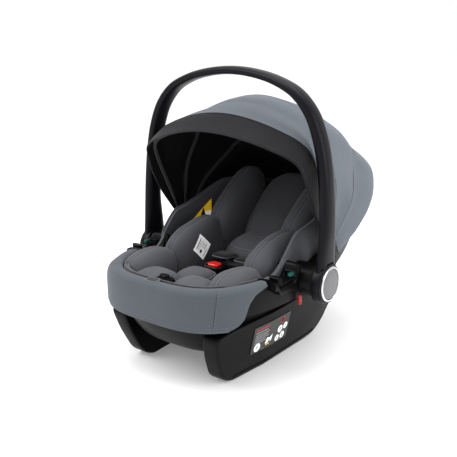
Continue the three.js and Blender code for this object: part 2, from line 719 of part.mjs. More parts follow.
// A bow: a rod just under the fabric, with an eye at each end round the hinge pin.
const EYE = 9;
function bow(angle, eyeX) {
  const rings = [];
  const a = rad(angle);
  const steps = 22;
  for (let i = 0; i <= steps; i++) {
    const u = i / steps;
    const t = archCurve.getTangent(u);
    const ring = [];
    const p = archCurve.getPoint(u);
    const foot = smooth((90 - p.y) / 60);
    const [inside, cd] = archPoint(p, t, angle, 8.6);
    const cx = lerp(inside, Math.sign(p.x) * (eyeX + 1.6), foot);
    for (let k = 0; k < 5; k++) {
      const b = ((k + 0.5) / 5) * 2 * Math.PI;
      const inPlane = lerp(3.6, 1.5, foot) * Math.cos(b);
      const side = 3.6 * Math.sin(b);
      const x = cx - t.y * inPlane;
      const d = cd + t.x * inPlane;
      const y = CANOPY_Y + d * Math.cos(a) - side * Math.sin(a);
      ring.push(V(x, y, CANOPY_Z + d * Math.sin(a) + side * Math.cos(a)));
    }
    rings.push(ring);
  }
  const arm = box(eyeX, eyeX + 3.2, 4, 34, -3.4, 3.4).rotateX(a).translate(0, CANOPY_Y, CANOPY_Z);
  const eye = disc([[eyeX, EYE], [eyeX + 3.2, EYE]], CANOPY_Y, CANOPY_Z, 12);
  const hole = disc([[eyeX - 2, 4.3], [eyeX + 6, 4.3]], CANOPY_Y, CANOPY_Z, 10);
  return cut(
    join(loft(rings), arm, mirrored(arm), eye, mirrored(eye)),
    hole,
    mirrored(hole),
  );
}
add("rear_bow", bow(REAR_BOW_ANGLE, 169.5), CHARCOAL);
add("middle_bow", bow(MIDDLE_BOW_ANGLE, 173.3), CHARCOAL);
add("front_bow", bow(FRONT_BOW_ANGLE, 177.1), CHARCOAL);

// Hinge mount: a ribbed round housing on the outside of the rim, with the bows' pin.
function hingeMount() {
  const housing = disc([[181, 13], [182, 15], [188, 15], [190, 12]], CANOPY_Y, CANOPY_Z, 14);
  const stem = box(181, 188, CANOPY_Y - 11, CANOPY_Y + 11, 172, CANOPY_Z);
  const foot = box(173.5, 188, CANOPY_Y - 11, CANOPY_Y + 11, 172, 186);
  const pin = disc([[168, 4], [182, 4]], CANOPY_Y, CANOPY_Z, 10);
  const ribs = [0, 1, 2, 3].map((k) => box(187, 191, CANOPY_Y - 9, CANOPY_Y + 9, 176 + 5 * k, 178.4 + 5 * k));
  return join(housing, stem, foot, pin, ...ribs);
}
addPair("hinge_mount", hingeMount(), BLACK);

// ---- locking tabs and labels ----
addPair("lock_tab", rounded(173.6, 181, -40, -33, 128, 146, 1.5, 0.8), RED);

function sideLabel() {
  const rings = [];
  const face = (y, z) => RUNNER_OUTER_X + LEAN * z - (y < -60 ? 0.085 * (-60 - y) : 0);
  for (let i = 0; i <= 4; i++) {
    const y = [-110, -85, -60, -30, 0][i];
    rings.push([
      V(face(y, 40) + 1.2, y, 40),
      V(face(y, 94) + 1.2, y, 94),
      V(face(y, 94) + 0.4, y, 94),
      V(face(y, 40) + 0.4, y, 40),
    ]);
  }
  return loft(rings);
}
add("side_label", sideLabel(), WHITE);
const BOLSTER_PLACE = padsMade.find((p) => p.at[0] === 94);
const grownHalf = BOLSTER_PLACE.half.map((v) => v + 0.4);
const labelBack = mirrored(pillow(BOLSTER_PLACE.at, ...grownHalf, BOLSTER_PLACE.tilt, 0.7));
const labelPlate = new THREE.BoxGeometry(5, 36, 38).rotateX(rad(45)).translate(-64.5, -15, 185);
add("care_label", cut(labelPlate, labelBack), WHITE);
add("rim_label", rounded(-1, 1, -14, 14, -10, 10, 0.5, 0.3).rotateZ(rad(2)).translate(-135.4, 80, 230), YELLOW);

export default root;
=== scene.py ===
import math

import bpy
import numpy as np
from mathutils import Euler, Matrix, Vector, noise


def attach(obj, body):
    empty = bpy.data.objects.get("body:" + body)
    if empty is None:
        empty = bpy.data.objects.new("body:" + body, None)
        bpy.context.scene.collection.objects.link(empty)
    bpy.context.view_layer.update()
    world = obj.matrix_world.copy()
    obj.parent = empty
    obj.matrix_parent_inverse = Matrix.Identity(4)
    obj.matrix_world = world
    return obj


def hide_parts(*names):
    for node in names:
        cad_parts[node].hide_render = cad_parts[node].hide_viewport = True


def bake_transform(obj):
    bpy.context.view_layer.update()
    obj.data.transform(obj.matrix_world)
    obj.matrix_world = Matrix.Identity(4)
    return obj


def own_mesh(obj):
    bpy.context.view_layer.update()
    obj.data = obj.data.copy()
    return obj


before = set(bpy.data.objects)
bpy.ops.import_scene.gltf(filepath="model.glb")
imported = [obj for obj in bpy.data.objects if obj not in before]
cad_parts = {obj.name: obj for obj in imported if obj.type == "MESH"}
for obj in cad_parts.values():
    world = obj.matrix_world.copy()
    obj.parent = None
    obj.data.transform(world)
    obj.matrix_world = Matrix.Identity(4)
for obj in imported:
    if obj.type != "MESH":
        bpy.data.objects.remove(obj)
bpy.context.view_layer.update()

# ---------------------------------------------------------------- camera
cam_data = bpy.data.cameras.new("camera")
cam_data.lens = 54.75
cam_data.sensor_width = 36.0
cam = bpy.data.objects.new("camera", cam_data)
bpy.context.scene.collection.objects.link(cam)
cam.location = (0.779, -1.09, 0.586)
cam.rotation_mode = "QUATERNION"
cam.rotation_quaternion = (Vector((0, -0.0633, 0.2334)) - cam.location).to_track_quat("-Z", "Y")
bpy.context.scene.camera = cam

# ---------------------------------------------------------------- dimensions, as in the CAD (mm)
SHIFT = -51.0
PIVOT_Z = 164.0
HALF = 166  # half the rim's width
FOOT, HEAD, MID = -234.0, 329.8, 60.0
FOOT_END = -math.pi / 2  # the plan angle of the foot end
CANOPY_Y, CANOPY_Z = 60.0, 208.0
BRIM_A, BRIM_B = 122.5, 111.2
BOW_F, BOW_M, BOW_R = 118.0, 84.0, 47.0
GUIDE_Y = -71.0
RECESS_X = 205.8  # how far in the hub is hollow behind its button


def smooth(t):
    t = np.clip(t, 0, 1)
    return t * t * (3 - 2 * t)


def lerp(a, b, t):
    return a + (b - a) * t


def rim_z(y):
    return 182.0 + 92.0 * smooth((y + 20.0) / 360.0)


def power(v, e):
    return np.sign(v) * np.abs(v) ** e


def plan(a, half, foot, head, out=0.0):
    """Point of the plan outline at angle a, squarer at the foot end."""
    c, s = np.cos(a), np.sin(a)
    e = np.where(s < 0, 2 / 3.4, 2 / 2.2)
    reach = np.where(s < 0, MID - foot + out, head - MID + out)
    return (half + out) * power(c, e), MID + reach * power(s, e)


def even_angles(n, half, foot, head):
    """Angles that step evenly round the outline, from the foot end."""
    a = np.linspace(FOOT_END, FOOT_END + 2 * math.pi, 6000)
    x, y = plan(a, half, foot, head)
    d = np.concatenate([[0], np.cumsum(np.hypot(np.diff(x), np.diff(y)))])
    return np.interp(np.linspace(0, d[-1], n + 1)[:-1], d, a)


def rim_point(a, out, up):
    """Point beside the rim at angle a: out of its plan outline, and up from its line."""
    x, y = plan(a, HALF, FOOT, HEAD, out)
    return np.stack([x, y, rim_z(y) + up], -1)


class Spline:
    """A smooth line through points, by distance."""

    def __init__(self, pts):
        self.p = np.array(pts, float)
        d = np.linalg.norm(np.diff(self.p, axis=0), axis=1)
        self.t = np.concatenate([[0], np.cumsum(np.sqrt(d * d + 1e-9))])
        self.t /= self.t[-1]
        h = np.diff(self.t)[:, None]
        s = np.diff(self.p, axis=0) / h
        m = np.empty_like(self.p)
        m[1:-1] = (s[:-1] * h[1:] + s[1:] * h[:-1]) / (h[1:] + h[:-1])
        m[0], m[-1] = s[0], s[-1]
        self.m = m

    def at(self, u):
        u = np.atleast_1d(np.asarray(u, float))
        i = np.clip(np.searchsorted(self.t, u, "right") - 1, 0, len(self.t) - 2)
        h = (self.t[i + 1] - self.t[i])[:, None]
        x = ((u - self.t[i])[:, None]) / h
        return (
            (2 * x**3 - 3 * x**2 + 1) * self.p[i]
            + (x**3 - 2 * x**2 + x) * h * self.m[i]
            + (-2 * x**3 + 3 * x**2) * self.p[i + 1]
            + (x**3 - x**2) * h * self.m[i + 1]
        )

    def tangent(self, u, e=1e-4):
        u = np.atleast_1d(np.asarray(u, float))
        d = self.at(np.clip(u + e, 0, 1)) - self.at(np.clip(u - e, 0, 1))
        return d / np.linalg.norm(d, axis=1)[:, None]


def wobble(P, amount, size, seed=0.0):
    """Moves points of a grid along its normals by soft noise: folds and slight unevenness."""
    P = np.array(P, float)
    du = np.gradient(P, axis=1)
    dv = np.gradient(P, axis=0)
    n = np.cross(du, dv)
    n /= np.linalg.norm(n, axis=2)[..., None] + 1e-9
    flat = P.reshape(-1, 3)
    w = np.array([noise.noise(Vector((p[0] / size + seed, p[1] / size, p[2] / size))) for p in flat])
    return P + n * (w.reshape(P.shape[:2]) * amount)[..., None]


# ---------------------------------------------------------------- materials
MATS = {}


def new_mat(name):
    m = bpy.data.materials.new(name)
    m.use_nodes = True
    nt = m.node_tree
    nt.nodes.clear()
    out = nt.nodes.new("ShaderNodeOutputMaterial")
    b = nt.nodes.new("ShaderNodeBsdfPrincipled")
    nt.links.new(b.outputs[0], out.inputs[0])
    MATS[name] = m
    return m, nt, b


def node(nt, kind, **settings):
    n = nt.nodes.new(kind)
    for k, v in settings.items():
        if k.startswith("in_"):
            n.inputs[k[3:].replace("_", " ")].default_value = v
        else:
            setattr(n, k, v)
    return n


def ramp(nt, source, lo, hi, a, b):
    r = nt.nodes.new("ShaderNodeMapRange")
    nt.links.new(source, r.inputs["Value"])
    for socket, value in (("From Min", lo), ("From Max", hi), ("To Min", a), ("To Max", b)):
        r.inputs[socket].default_value = value
    return r.outputs[0]


def mix_colour(nt, fac, a, b):
    m = nt.nodes.new("ShaderNodeMix")
    m.data_type = "RGBA"
    nt.links.new(fac, m.inputs[0])
    m.inputs[6].default_value = (*a, 1)
    m.inputs[7].default_value = (*b, 1)
    return m.outputs[2]


def shade(c, k):
    return tuple(min(1.0, x * k) for x in c)


def plastic(name, colour, rough, grain_depth=0.00006, spec=0.5):
    """Moulded plastic: fine spark-eroded grain, uneven gloss, and edges rubbed a little lighter."""
    m, nt, b = new_mat(name)
    co = node(nt, "ShaderNodeTexCoord")
    fine = node(nt, "ShaderNodeTexNoise", in_Scale=1100.0, in_Detail=2.0)
    soft = node(nt, "ShaderNodeTexNoise", in_Scale=9.0, in_Detail=4.0)
    for t in (fine, soft):
        nt.links.new(co.outputs["Object"], t.inputs["Vector"])
    geo = node(nt, "ShaderNodeNewGeometry")
    edge = ramp(nt, geo.outputs["Pointiness"], 0.53, 0.62, 0.0, 0.5)
    nt.links.new(mix_colour(nt, edge, colour, shade(colour, 2.2)), b.inputs["Base Color"])
    nt.links.new(ramp(nt, soft.outputs[0], 0.3, 0.7, rough - 0.05, rough + 0.06), b.inputs["Roughness"])
    bump = node(nt, "ShaderNodeBump", in_Strength=0.35, in_Distance=grain_depth)
    nt.links.new(fine.outputs[0], bump.inputs["Height"])
    nt.links.new(bump.outputs[0], b.inputs["Normal"])
    b.inputs["Specular IOR Level"].default_value = spec
    return m


WAVE_MM = 314.16  # the scale at which a wave texture repeats every millimetre


def fabric(name, colour, pitch=1.6, depth=0.00018, rough=0.85, sheen=0.25, lift=1.35, crease=0.0):
    """Woven cloth: two crossing thread waves, slubs in the yarn, a soft nap and faint creases."""
    m, nt, b = new_mat(name)
    co = node(nt, "ShaderNodeTexCoord")
    bands = []
    for direction in ("X", "Y"):
        w = node(nt, "ShaderNodeTexWave", wave_type="BANDS", bands_direction=direction, in_Distortion=0.6)
        w.inputs["Scale"].default_value = WAVE_MM / pitch
        w.inputs["Detail Scale"].default_value = 3.0
        nt.links.new(co.outputs["UV"], w.inputs["Vector"])
        bands.append(w.outputs[1])
    weave = node(nt, "ShaderNodeMath", operation="MAXIMUM")
    nt.links.new(bands[0], weave.inputs[0])
    nt.links.new(bands[1], weave.inputs[1])
    slub = node(nt, "ShaderNodeTexNoise", in_Scale=420.0, in_Detail=3.0)
    cloud = node(nt, "ShaderNodeTexNoise", in_Scale=14.0, in_Detail=5.0)
    for t in (slub, cloud):
        nt.links.new(co.outputs["Object"], t.inputs["Vector"])
    total = node(nt, "ShaderNodeMath", operation="MULTIPLY_ADD")
    nt.links.new(slub.outputs[0], total.inputs[0])
    total.inputs[1].default_value = 0.55
    nt.links.new(weave.outputs[0], total.inputs[2])
    tone = node(nt, "ShaderNodeMath", operation="MULTIPLY_ADD")
    nt.links.new(cloud.outputs[0], tone.inputs[0])
    tone.inputs[1].default_value = 0.5
    nt.links.new(total.outputs[0], tone.inputs[2])
    fac = ramp(nt, tone.outputs[0], 0.5, 1.6, 0.0, 1.0)
    nt.links.new(mix_colour(nt, fac, shade(colour, 0.74), shade(colour, lift)), b.inputs["Base Color"])
    gloss = ramp(nt, cloud.outputs[0], 0.3, 0.7, rough - 0.08, min(1.0, rough + 0.08))
    nt.links.new(gloss, b.inputs["Roughness"])
    bump = node(nt, "ShaderNodeBump", in_Strength=0.6, in_Distance=depth)
    nt.links.new(total.outputs[0], bump.inputs["Height"])
    last = bump
    if crease:
        folds = node(nt, "ShaderNodeTexNoise", in_Scale=26.0, in_Detail=3.0, in_Distortion=0.8)
        nt.links.new(co.outputs["Object"], folds.inputs["Vector"])
        more = node(nt, "ShaderNodeBump", in_Strength=0.5, in_Distance=crease)
        nt.links.new(folds.outputs[0], more.inputs["Height"])
        nt.links.new(bump.outputs[0], more.inputs["Normal"])
        last = more
    nt.links.new(last.outputs[0], b.inputs["Normal"])
    b.inputs["Sheen Weight"].default_value = sheen
    b.inputs["Sheen Roughness"].default_value = 0.5
    b.inputs["Specular IOR Level"].default_value = 0.12
    return m


def metal(name, colour, rough):
    m, nt, b = new_mat(name)
    co = node(nt, "ShaderNodeTexCoord")
    t = node(nt, "ShaderNodeTexNoise", in_Scale=160.0, in_Detail=4.0)
    nt.links.new(co.outputs["Object"], t.inputs["Vector"])
    nt.links.new(mix_colour(nt, t.outputs[0], shade(colour, 0.92), colour), b.inputs["Base Color"])
    nt.links.new(ramp(nt, t.outputs[0], 0.3, 0.7, rough, rough + 0.06), b.inputs["Roughness"])
    b.inputs["Metallic"].default_value = 1.0
    return m


# painted_glow makes a label give off light of its own colour: painted light, not a lamp.
def paper(name, colour, painted_glow=0.0):
    m, nt, b = new_mat(name)
    co = node(nt, "ShaderNodeTexCoord")
    t = node(nt, "ShaderNodeTexNoise", in_Scale=300.0, in_Detail=3.0)
    nt.links.new(co.outputs["Object"], t.inputs["Vector"])
    nt.links.new(mix_colour(nt, t.outputs[0], shade(colour, 0.9), colour), b.inputs["Base Color"])
    nt.links.new(ramp(nt, t.outputs[0], 0.3, 0.7, 0.45, 0.6), b.inputs["Roughness"])
    b.inputs["Emission Color"].default_value = (*colour, 1)
    b.inputs["Emission Strength"].default_value = painted_glow
    return m


plastic("shell", (0.003, 0.003, 0.0034), 0.38, spec=0.08)
plastic("handle", (0.004, 0.0034, 0.0055), 0.33, spec=0.12)
plastic("rim", (0.0025, 0.0025, 0.003), 0.34, spec=0.1)
plastic("black", (0.002, 0.002, 0.0024), 0.33, spec=0.1)
plastic("disc", (0.13, 0.128, 0.135), 0.42)
plastic("red", (0.62, 0.012, 0.008), 0.28, grain_depth=0.00002)
# A darker copy of the red plastic for the lock tabs: painted shade, for tabs that sit in the shade of the
# handle's hub.
plastic("dark_red", (0.2, 0.006, 0.005), 0.34, grain_depth=0.00002)
plastic("teal", (0.004, 0.05, 0.036), 0.4, spec=0.2)
fabric("band", (0.061, 0.071, 0.082), pitch=1.3, sheen=0.15, crease=0.0004)
fabric("canopy", (0.105, 0.121, 0.143), pitch=1.1, sheen=0.15, lift=1.2, crease=0.0005)
fabric("lining", (0.004, 0.004, 0.0045), pitch=1.3, sheen=0.02)
fabric("sleeve", (0.022, 0.022, 0.024), pitch=1.3)
fabric("brim", (0.0055, 0.0052, 0.0068), pitch=1.0, rough=0.5, sheen=0.05)
fabric("cover", (0.068, 0.07, 0.078), pitch=1.5, sheen=0.15, crease=0.0006)
fabric("insert", (0.066, 0.067, 0.075), pitch=1.5, sheen=0.15, crease=0.0007)
fabric("piping", (0.1, 0.105, 0.115), pitch=1.2, sheen=0.15)
fabric("webbing", (0.009, 0.009, 0.0105), pitch=2.2, depth=0.0004, rough=0.7, sheen=0.2)
fabric("black_cloth", (0.008, 0.008, 0.009), pitch=1.6, sheen=0.15, crease=0.0004)
fabric("thread", (0.2, 0.225, 0.25), pitch=0.8)
fabric("dark_thread", (0.03, 0.03, 0.033), pitch=0.8)
metal("chrome", (0.7, 0.7, 0.72), 0.16)
metal("steel", (0.5, 0.5, 0.51), 0.32)
# The white labels glow a little: painted light that brightens them where they sit in shade inside the seat.
paper("white_label", (0.9, 0.91, 0.9), 0.32)
paper("dark_label", (0.03, 0.03, 0.032))
paper("grey_ink", (0.3, 0.3, 0.31))
paper("red_ink", (0.45, 0.02, 0.015))
paper("black_ink", (0.02, 0.02, 0.022))
# The yellow warning label glows a little too: painted light against the shade inside the seat.
paper("yellow", (0.8, 0.5, 0.015), 0.3)
paper("foam", (0.7, 0.7, 0.68))


# ---------------------------------------------------------------- mesh makers
def to_row(P):
    Q = np.array(P, float)
    Q[..., 1] += SHIFT
    return Q * 0.001


def make(name, verts, faces, mats, uv, mat_index=None, sharp=40.0):
    me = bpy.data.meshes.new(name)
    me.from_pydata([tuple(v) for v in verts], [], faces)
    for m in mats:
        me.materials.append(MATS[m])
    if mat_index is not None:
        me.polygons.foreach_set("material_index", mat_index)
    layer = me.uv_layers.new(name="UVMap")
    layer.data.foreach_set("uv", np.asarray(uv, np.float32).ravel())
    me.update()
    me.shade_smooth()
    me.set_sharp_from_angle(angle=math.radians(sharp))
    o = bpy.data.objects.new(name, me)
    bpy.context.scene.collection.objects.link(o)
    return o


def surf(name, P, mats, close_u=False, close_v=False, cap=False, second=None, sharp=40.0):
    """Quads over a grid of points (rows v, columns u), facing out, with UVs in metres.

    second says which quads take the second material.
    """
    P = to_row(P)
    V = P.reshape(-1, 3)
    nv, nu = P.shape[:2]
    U = np.linalg.norm(np.diff(np.concatenate([P, P[:, :1]], 1), axis=1), axis=2).mean(0)
    U = np.concatenate([[0], np.cumsum(U)])
    W = np.linalg.norm(np.diff(np.concatenate([P, P[:1]], 0), axis=0), axis=2).mean(1)
    W = np.concatenate([[0], np.cumsum(W)])
    faces, uv, mi = [], [], []
    for i in range(nv if close_v else nv - 1):
        for j in range(nu if close_u else nu - 1):
            a, b = i * nu + j, i * nu + (j + 1) % nu
            c, d = ((i + 1) % nv) * nu + (j + 1) % nu, ((i + 1) % nv) * nu + j
            faces.append((a, b, c, d))
            uv += [(U[j], W[i]), (U[j + 1], W[i]), (U[j + 1], W[i + 1]), (U[j], W[i + 1])]
            mi.append(1 if second is not None and second(i, j) else 0)
    if cap:
        ends = (list(range(nu))[::-1], [(nv - 1) * nu + j for j in range(nu)])
        for ids in ends[1:] if cap == "last" else ends:
            faces.append(tuple(ids))
            uv += [(V[k][0], V[k][2]) for k in ids]
            mi.append(0)
    c = V.mean(0)
    volume = 0.0
    for f in faces:
        q = V[list(f)] - c
        for k in range(1, len(f) - 1):
            volume += np.dot(q[0], np.cross(q[k], q[k + 1]))
    if volume < 0:
        k = 0
        out = []
        for n, f in enumerate(faces):
            out += uv[k : k + len(f)][::-1]
            k += len(f)
            faces[n] = f[::-1]
        uv = out
    return make(name, V, faces, mats, uv, mi, sharp)


def tube(name, pts, r, mats, n=10, closed=False):
    """A round cord along points in mm; r is one radius or one for each point."""
    pts = np.array(pts, float)
    r = np.broadcast_to(r, len(pts))
    nxt = np.roll(pts, -1, 0) - np.roll(pts, 1, 0)
    if not closed:
        nxt[0], nxt[-1] = pts[1] - pts[0], pts[-1] - pts[-2]
    t = nxt / (np.linalg.norm(nxt, axis=1)[:, None] + 1e-9)
    ref = np.array([0, 0, 1.0])
    rings = []
    side = np.cross(t[0], ref)
    if np.linalg.norm(side) < 1e-3:
        side = np.cross(t[0], [1.0, 0, 0])
    for p, d, radius in zip(pts, t, r):
        side = side - d * np.dot(side, d)
        side /= np.linalg.norm(side)
        up = np.cross(side, d)
        a = np.arange(n) / n * 2 * math.pi
        rings.append(p + radius * (np.cos(a)[:, None] * side + np.sin(a)[:, None] * up))
    return surf(name, np.array(rings), mats, close_u=True, close_v=closed, cap=not closed)


def stitches(name, pts, mats, length=3.4, gap=2.4, r=0.42):
    """Separate thread stitches laid along a line."""
    pts = np.array(pts, float)
    d = np.concatenate([[0], np.cumsum(np.linalg.norm(np.diff(pts, axis=0), axis=1))])
    V, F = [], []
    m = 5  # sides round each stitch
    s = gap
    while s + length < d[-1]:
        row = [np.array([np.interp(s + length * k / 3, d, pts[:, c]) for c in range(3)]) for k in range(4)]
        t = row[3] - row[0]
        t /= np.linalg.norm(t) + 1e-9
        side = np.cross(t, [0.31, 0.22, 0.92])
        side /= np.linalg.norm(side) + 1e-9
        up = np.cross(side, t)
        base = len(V)
        for k, p in enumerate(row):
            rr = r * (0.45 if k in (0, 3) else 1.0)
            for q in range(m):
                a = q / m * 2 * math.pi
                V.append(p + rr * (math.cos(a) * side + math.sin(a) * up))
        for k in range(3):
            for q in range(m):
                low, after = base + k * m, (q + 1) % m
                F.append((low + q, low + after, low + m + after, low + m + q))
        F.append(tuple(base + q for q in range(m))[::-1])
        F.append(tuple(base + 3 * m + q for q in range(m)))
        s += length + gap
    uv = [(0.0, 0.0)] * sum(len(f) for f in F)
    return make(name, to_row(np.array(V)), F, mats, uv)


def rotation(tilt):
    return np.array(Euler([math.radians(x) for x in tilt], "XYZ").to_matrix())


def cushion(name, centre, half, tilt, mats, square=0.7, lumps=2.0, seed=0.0, dent=(), face="z", seam=0.0):
    """A stuffed pad: a rounded block, pinched where its seam runs round it, and unevenly filled."""
    u, v = 84, 44  # points round the pad, and from its underside to its top
    a, b, c = half if face == "z" else half[::-1]
    q = np.linspace(-0.995, 0.995, v) * math.pi / 2
    p = np.arange(u) / u * 2 * math.pi
    Q, T = np.meshgrid(q, p, indexing="ij")
    r = power(np.cos(Q), 0.7)
    pinch = 1 - 0.05 * np.exp(-(((Q - seam) / 0.08) ** 2))
    X = a * r * power(np.cos(T), square) * pinch
    Y = b * r * power(np.sin(T), square) * pinch
    Z = c * power(np.sin(Q), 0.85)
    for dx, dy, w, depth in dent:
        Z -= np.where(Z > 0, depth, 0) * np.exp(-(((X - dx) ** 2 + (Y - dy) ** 2) / w**2))
    P = np.stack([X, Y, Z] if face == "z" else [Z, Y, X], -1)
    P = wobble(P, lumps, 38.0, seed)
    P = P @ rotation(tilt).T + np.array(centre)
    o = surf(name, P, mats, close_u=True, cap=True)
    k = int(np.argmin(np.abs(q - seam)))
    cord = tube(name + "_piping", P[k], 1.5, ["piping"], n=8, closed=True)
    return o, cord


# A strap's section, in shares of its width and thickness.
STRAP = [
    (-0.5, -0.3), (-0.46, -0.5), (0.46, -0.5), (0.5, -0.3), (0.5, 0.3), (0.46, 0.5), (-0.46, 0.5), (-0.5, 0.3),
]


def ribbon(name, pts, width, thick, mats):
    """A flat strap along a line, its width across the seat."""
    steps = 40
    sp = Spline(pts)
    p = sp.at(np.linspace(0, 1, steps))
    t = np.gradient(p, axis=0)
    t /= np.linalg.norm(t, axis=1)[:, None]
    up = np.stack([np.zeros(steps), -t[:, 2], t[:, 1]], -1)
    up /= np.linalg.norm(up, axis=1)[:, None] + 1e-9
    rows = [p + np.array([x * width, 0, 0]) + up * z * thick for x, z in STRAP]
    return surf(name, np.array(rows).transpose(1, 0, 2), mats, close_u=True, cap=True)


def ride(o, body, replaces=()):
    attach(o, body)
    if replaces:
        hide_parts(*replaces)
    return o


def ride_pad(pad, replaces=()):
    """A cushion and its piping on the shell."""
    cloth, cord = pad
    ride(cloth, "shell", replaces)
    ride(cord, "shell")


SIDES = ((1, "right"), (-1, "left"))

# ---------------------------------------------------------------- outer shell
def slope(a, b, foot, head):
    return lambda y: a + (b - a) * (y - foot) / (head - foot)


# Levels of the bowl, from the rim down: half width, foot end, head end and height.
SHELL = [
    (HALF, FOOT, HEAD, lambda y: rim_z(y) - 7),
    (160, -229, 318, lambda y: rim_z(y) - 42),
    (142, -222, 294, slope(112, 156, -222, 294)),
    (133, -206, 258, slope(82, 104, -206, 258)),
    (124, -182, 212, slope(56, 68, -182, 212)),
    (95, -140, 165, slope(47, 50, -140, 165)),
    (34, -60, 100, slope(46, 47, -60, 100)),
]


def bowl_grid(levels, rows, n, insets=None):
    """Grid of a bowl's surface: smooth lines down through the levels at even steps round it."""
    half, foot, head, _ = levels[0]
    a = even_angles(n, half, foot, head)
    pts = []
    for k, (h, f, e, z) in enumerate(levels):
        side, up = insets[k] if insets else (0, 0)
        x, y = plan(a, h, f, e, -side)
        pts.append(np.stack([x, y, z(y) + up], -1))
    pts = np.array(pts)
    out = np.zeros((rows, n, 3))
    u = np.linspace(0, 1, rows)
    for j in range(n):
        out[:, j] = Spline(pts[:, j]).at(u)
    return out


P = bowl_grid(SHELL, 46, 200)
inner = bowl_grid(SHELL, 46, 200, insets=[(4.5, 0)] * 7)[:3][::-1]
P = np.concatenate([inner, P])
shell = surf("shell_bowl", P, ["shell"], close_u=True, cap="last")
ride(shell, "shell", ["outer_shell"])


def outline(points, corner=10, step=5.0):
    """A closed outline with rounded corners, from corner points."""
    pts = np.array(points, float)
    out = []
    n = len(pts)
    for i in range(n):
        a, b, c = pts[i - 1], pts[i], pts[(i + 1) % n]
        r = min(corner, np.linalg.norm(b - a) * 0.45, np.linalg.norm(c - b) * 0.45)
        p = b + (a - b) / np.linalg.norm(a - b) * r
        q = b + (c - b) / np.linalg.norm(c - b) * r
        for t in np.linspace(0, 1, 7):
            out.append((1 - t) ** 2 * p + 2 * t * (1 - t) * b + t * t * q)
    out = np.array(out)
    loop = np.vstack([out, out[:1]])
    d = np.concatenate([[0], np.cumsum(np.linalg.norm(np.diff(loop, axis=0), axis=1))])
    m = max(12, int(d[-1] / step))
    t = np.arange(m) / m * d[-1]
    return np.stack([np.interp(t, d, loop[:, 0]), np.interp(t, d, loop[:, 1])], -1)


def inset(loop, r):
    """The outline drawn in by r."""
    nxt = np.roll(loop, -1, 0) - np.roll(loop, 1, 0)
    nrm = np.stack([nxt[:, 1], -nxt[:, 0]], -1)
    nrm /= np.linalg.norm(nrm, axis=1)[:, None] + 1e-9
    area = np.sum(loop[:, 0] * np.roll(loop[:, 1], -1) - np.roll(loop[:, 0], -1) * loop[:, 1])
    return loop - nrm * r * (1 if area > 0 else -1)


RUNNER = [
    (-150, 0), (85, 0), (122, 3.5), (148, 24), (190, 110), (150, 117), (-170, 110), (-210, 105), (-196, 58),
    (-174, 14),
]
# The runner's thickness: distance across, and how far its outline is drawn in there.
RUNNER_EDGE = [(84, 5), (84.6, 2), (86.5, 0.5), (89, 0), (100, 0), (112, 0), (114.6, 0.5), (116.4, 2), (117, 5)]
RUBBING_STRIP = [(-146, 7), (86, 7), (118, 10), (118, 12.5), (86, 9.5), (-146, 9.5)]
LEAN = 0.21  # how far a runner leans out for each millimetre up
TOE_START, TOE_IN = -60, 0.085  # where the runners start to draw together, and how fast


def runner_x(across, y, z):
    return across + LEAN * z - np.where(y < TOE_START, TOE_IN * (TOE_START - y), 0)


def runner_row(s, across, loop):
    return np.stack([s * runner_x(across, loop[:, 0], loop[:, 1]), loop[:, 0], loop[:, 1]], -1)


def build_runner(s, side):
    loop = outline(RUNNER, corner=16, step=3.5)
    rows = [runner_row(s, x, inset(loop, r)) for x, r in RUNNER_EDGE]
    o = surf("shell_runner_" + side, np.array(rows), ["shell"], close_u=True, cap=True)
    ride(o, "shell")
    strip = outline(RUBBING_STRIP, corner=1, step=6)
    rows = [runner_row(s, x, strip) for x in (116, 117.9)]
    o = surf("runner_line_" + side, np.array(rows), ["shell"], close_u=True, cap=True)
    ride(o, "shell")


for s, side in SIDES:
    build_runner(s, side)

# ---------------------------------------------------------------- upper rim
# The rim's section: out of the plan outline, and up from the rim's line.
RIM = [
    (2.5, -43), (4, -44.4), (6, -44), (6.6, -40), (6.8, -20), (6.6, -9), (5.4, -3.4), (2.6, -0.6), (-2, 0),
    (-9, 0), (-13, -0.5), (-15.2, -2), (-15.6, -5),
]
BOSS = [(150, 31), (168, 31), (170, 30), (190, 30), (193.5, 28.5), (195.6, 25), (195.8, 10)]


def notch(y, width=30.0):
    """1 beside the belt guides and 0 elsewhere."""
    return smooth((width + 2.5 - np.abs(y - GUIDE_Y)) / 5.0)


a = even_angles(420, HALF, FOOT, HEAD)
rows = [rim_point(a, out, up) for out, up in RIM]
for row, (_, up) in zip(rows, RIM):
    if up > -12:
        row[:, 2] -= notch(row[:, 1]) * 6.5
rim = surf("rim_ring", np.array(rows), ["rim"], close_u=True)
ride(rim, "shell", ["upper_rim"])


def turned(name, profile, y, z, mats, s=1, n=72, loop=False):
    """A profile of (distance across, radius) turned round an axis across the seat."""
    a = np.arange(n) / n * 2 * math.pi
    rows = [np.stack([np.full(n, s * x), y + r * np.cos(a), z + r * np.sin(a)], -1) for x, r in profile]
    return surf(name, np.array(rows), mats, close_u=True, close_v=loop, cap=not loop, sharp=32)


def build_boss(s, side):
    ride(turned("rim_boss_" + side, BOSS, 0, PIVOT_Z, ["rim"], s), "shell")


for s, side in SIDES:
    build_boss(s, side)

# ---------------------------------------------------------------- foot rim cover
BAND = [
    (7.0, -61.5), (8.2, -63.2), (9.8, -62.2), (10.6, -57), (11.2, -44), (11.4, -28), (11.2, -12), (10, -3),
    (7.5, 3.2), (3.5, 6.2), (-2, 7.4), (-8, 7), (-12.5, 5.4), (-14.2, 3), (-13.6, 1.6),
]
# The band's two ends: at each height, how many degrees round from the foot end.
BAND_END = [(-64, 42), (-61, 45), (-56, 48.5), (-47, 51.5), (-20, 54.6), (-6.6, 58.3), (-2.5, 61.5), (2, 66)]
BAND_SEAM = 32  # degrees from the foot end to each side seam


def band_reach(up):
    """How far round each side the band goes: further along its top than along its lower edge."""
    return np.radians(np.interp(up, *zip(*BAND_END)))


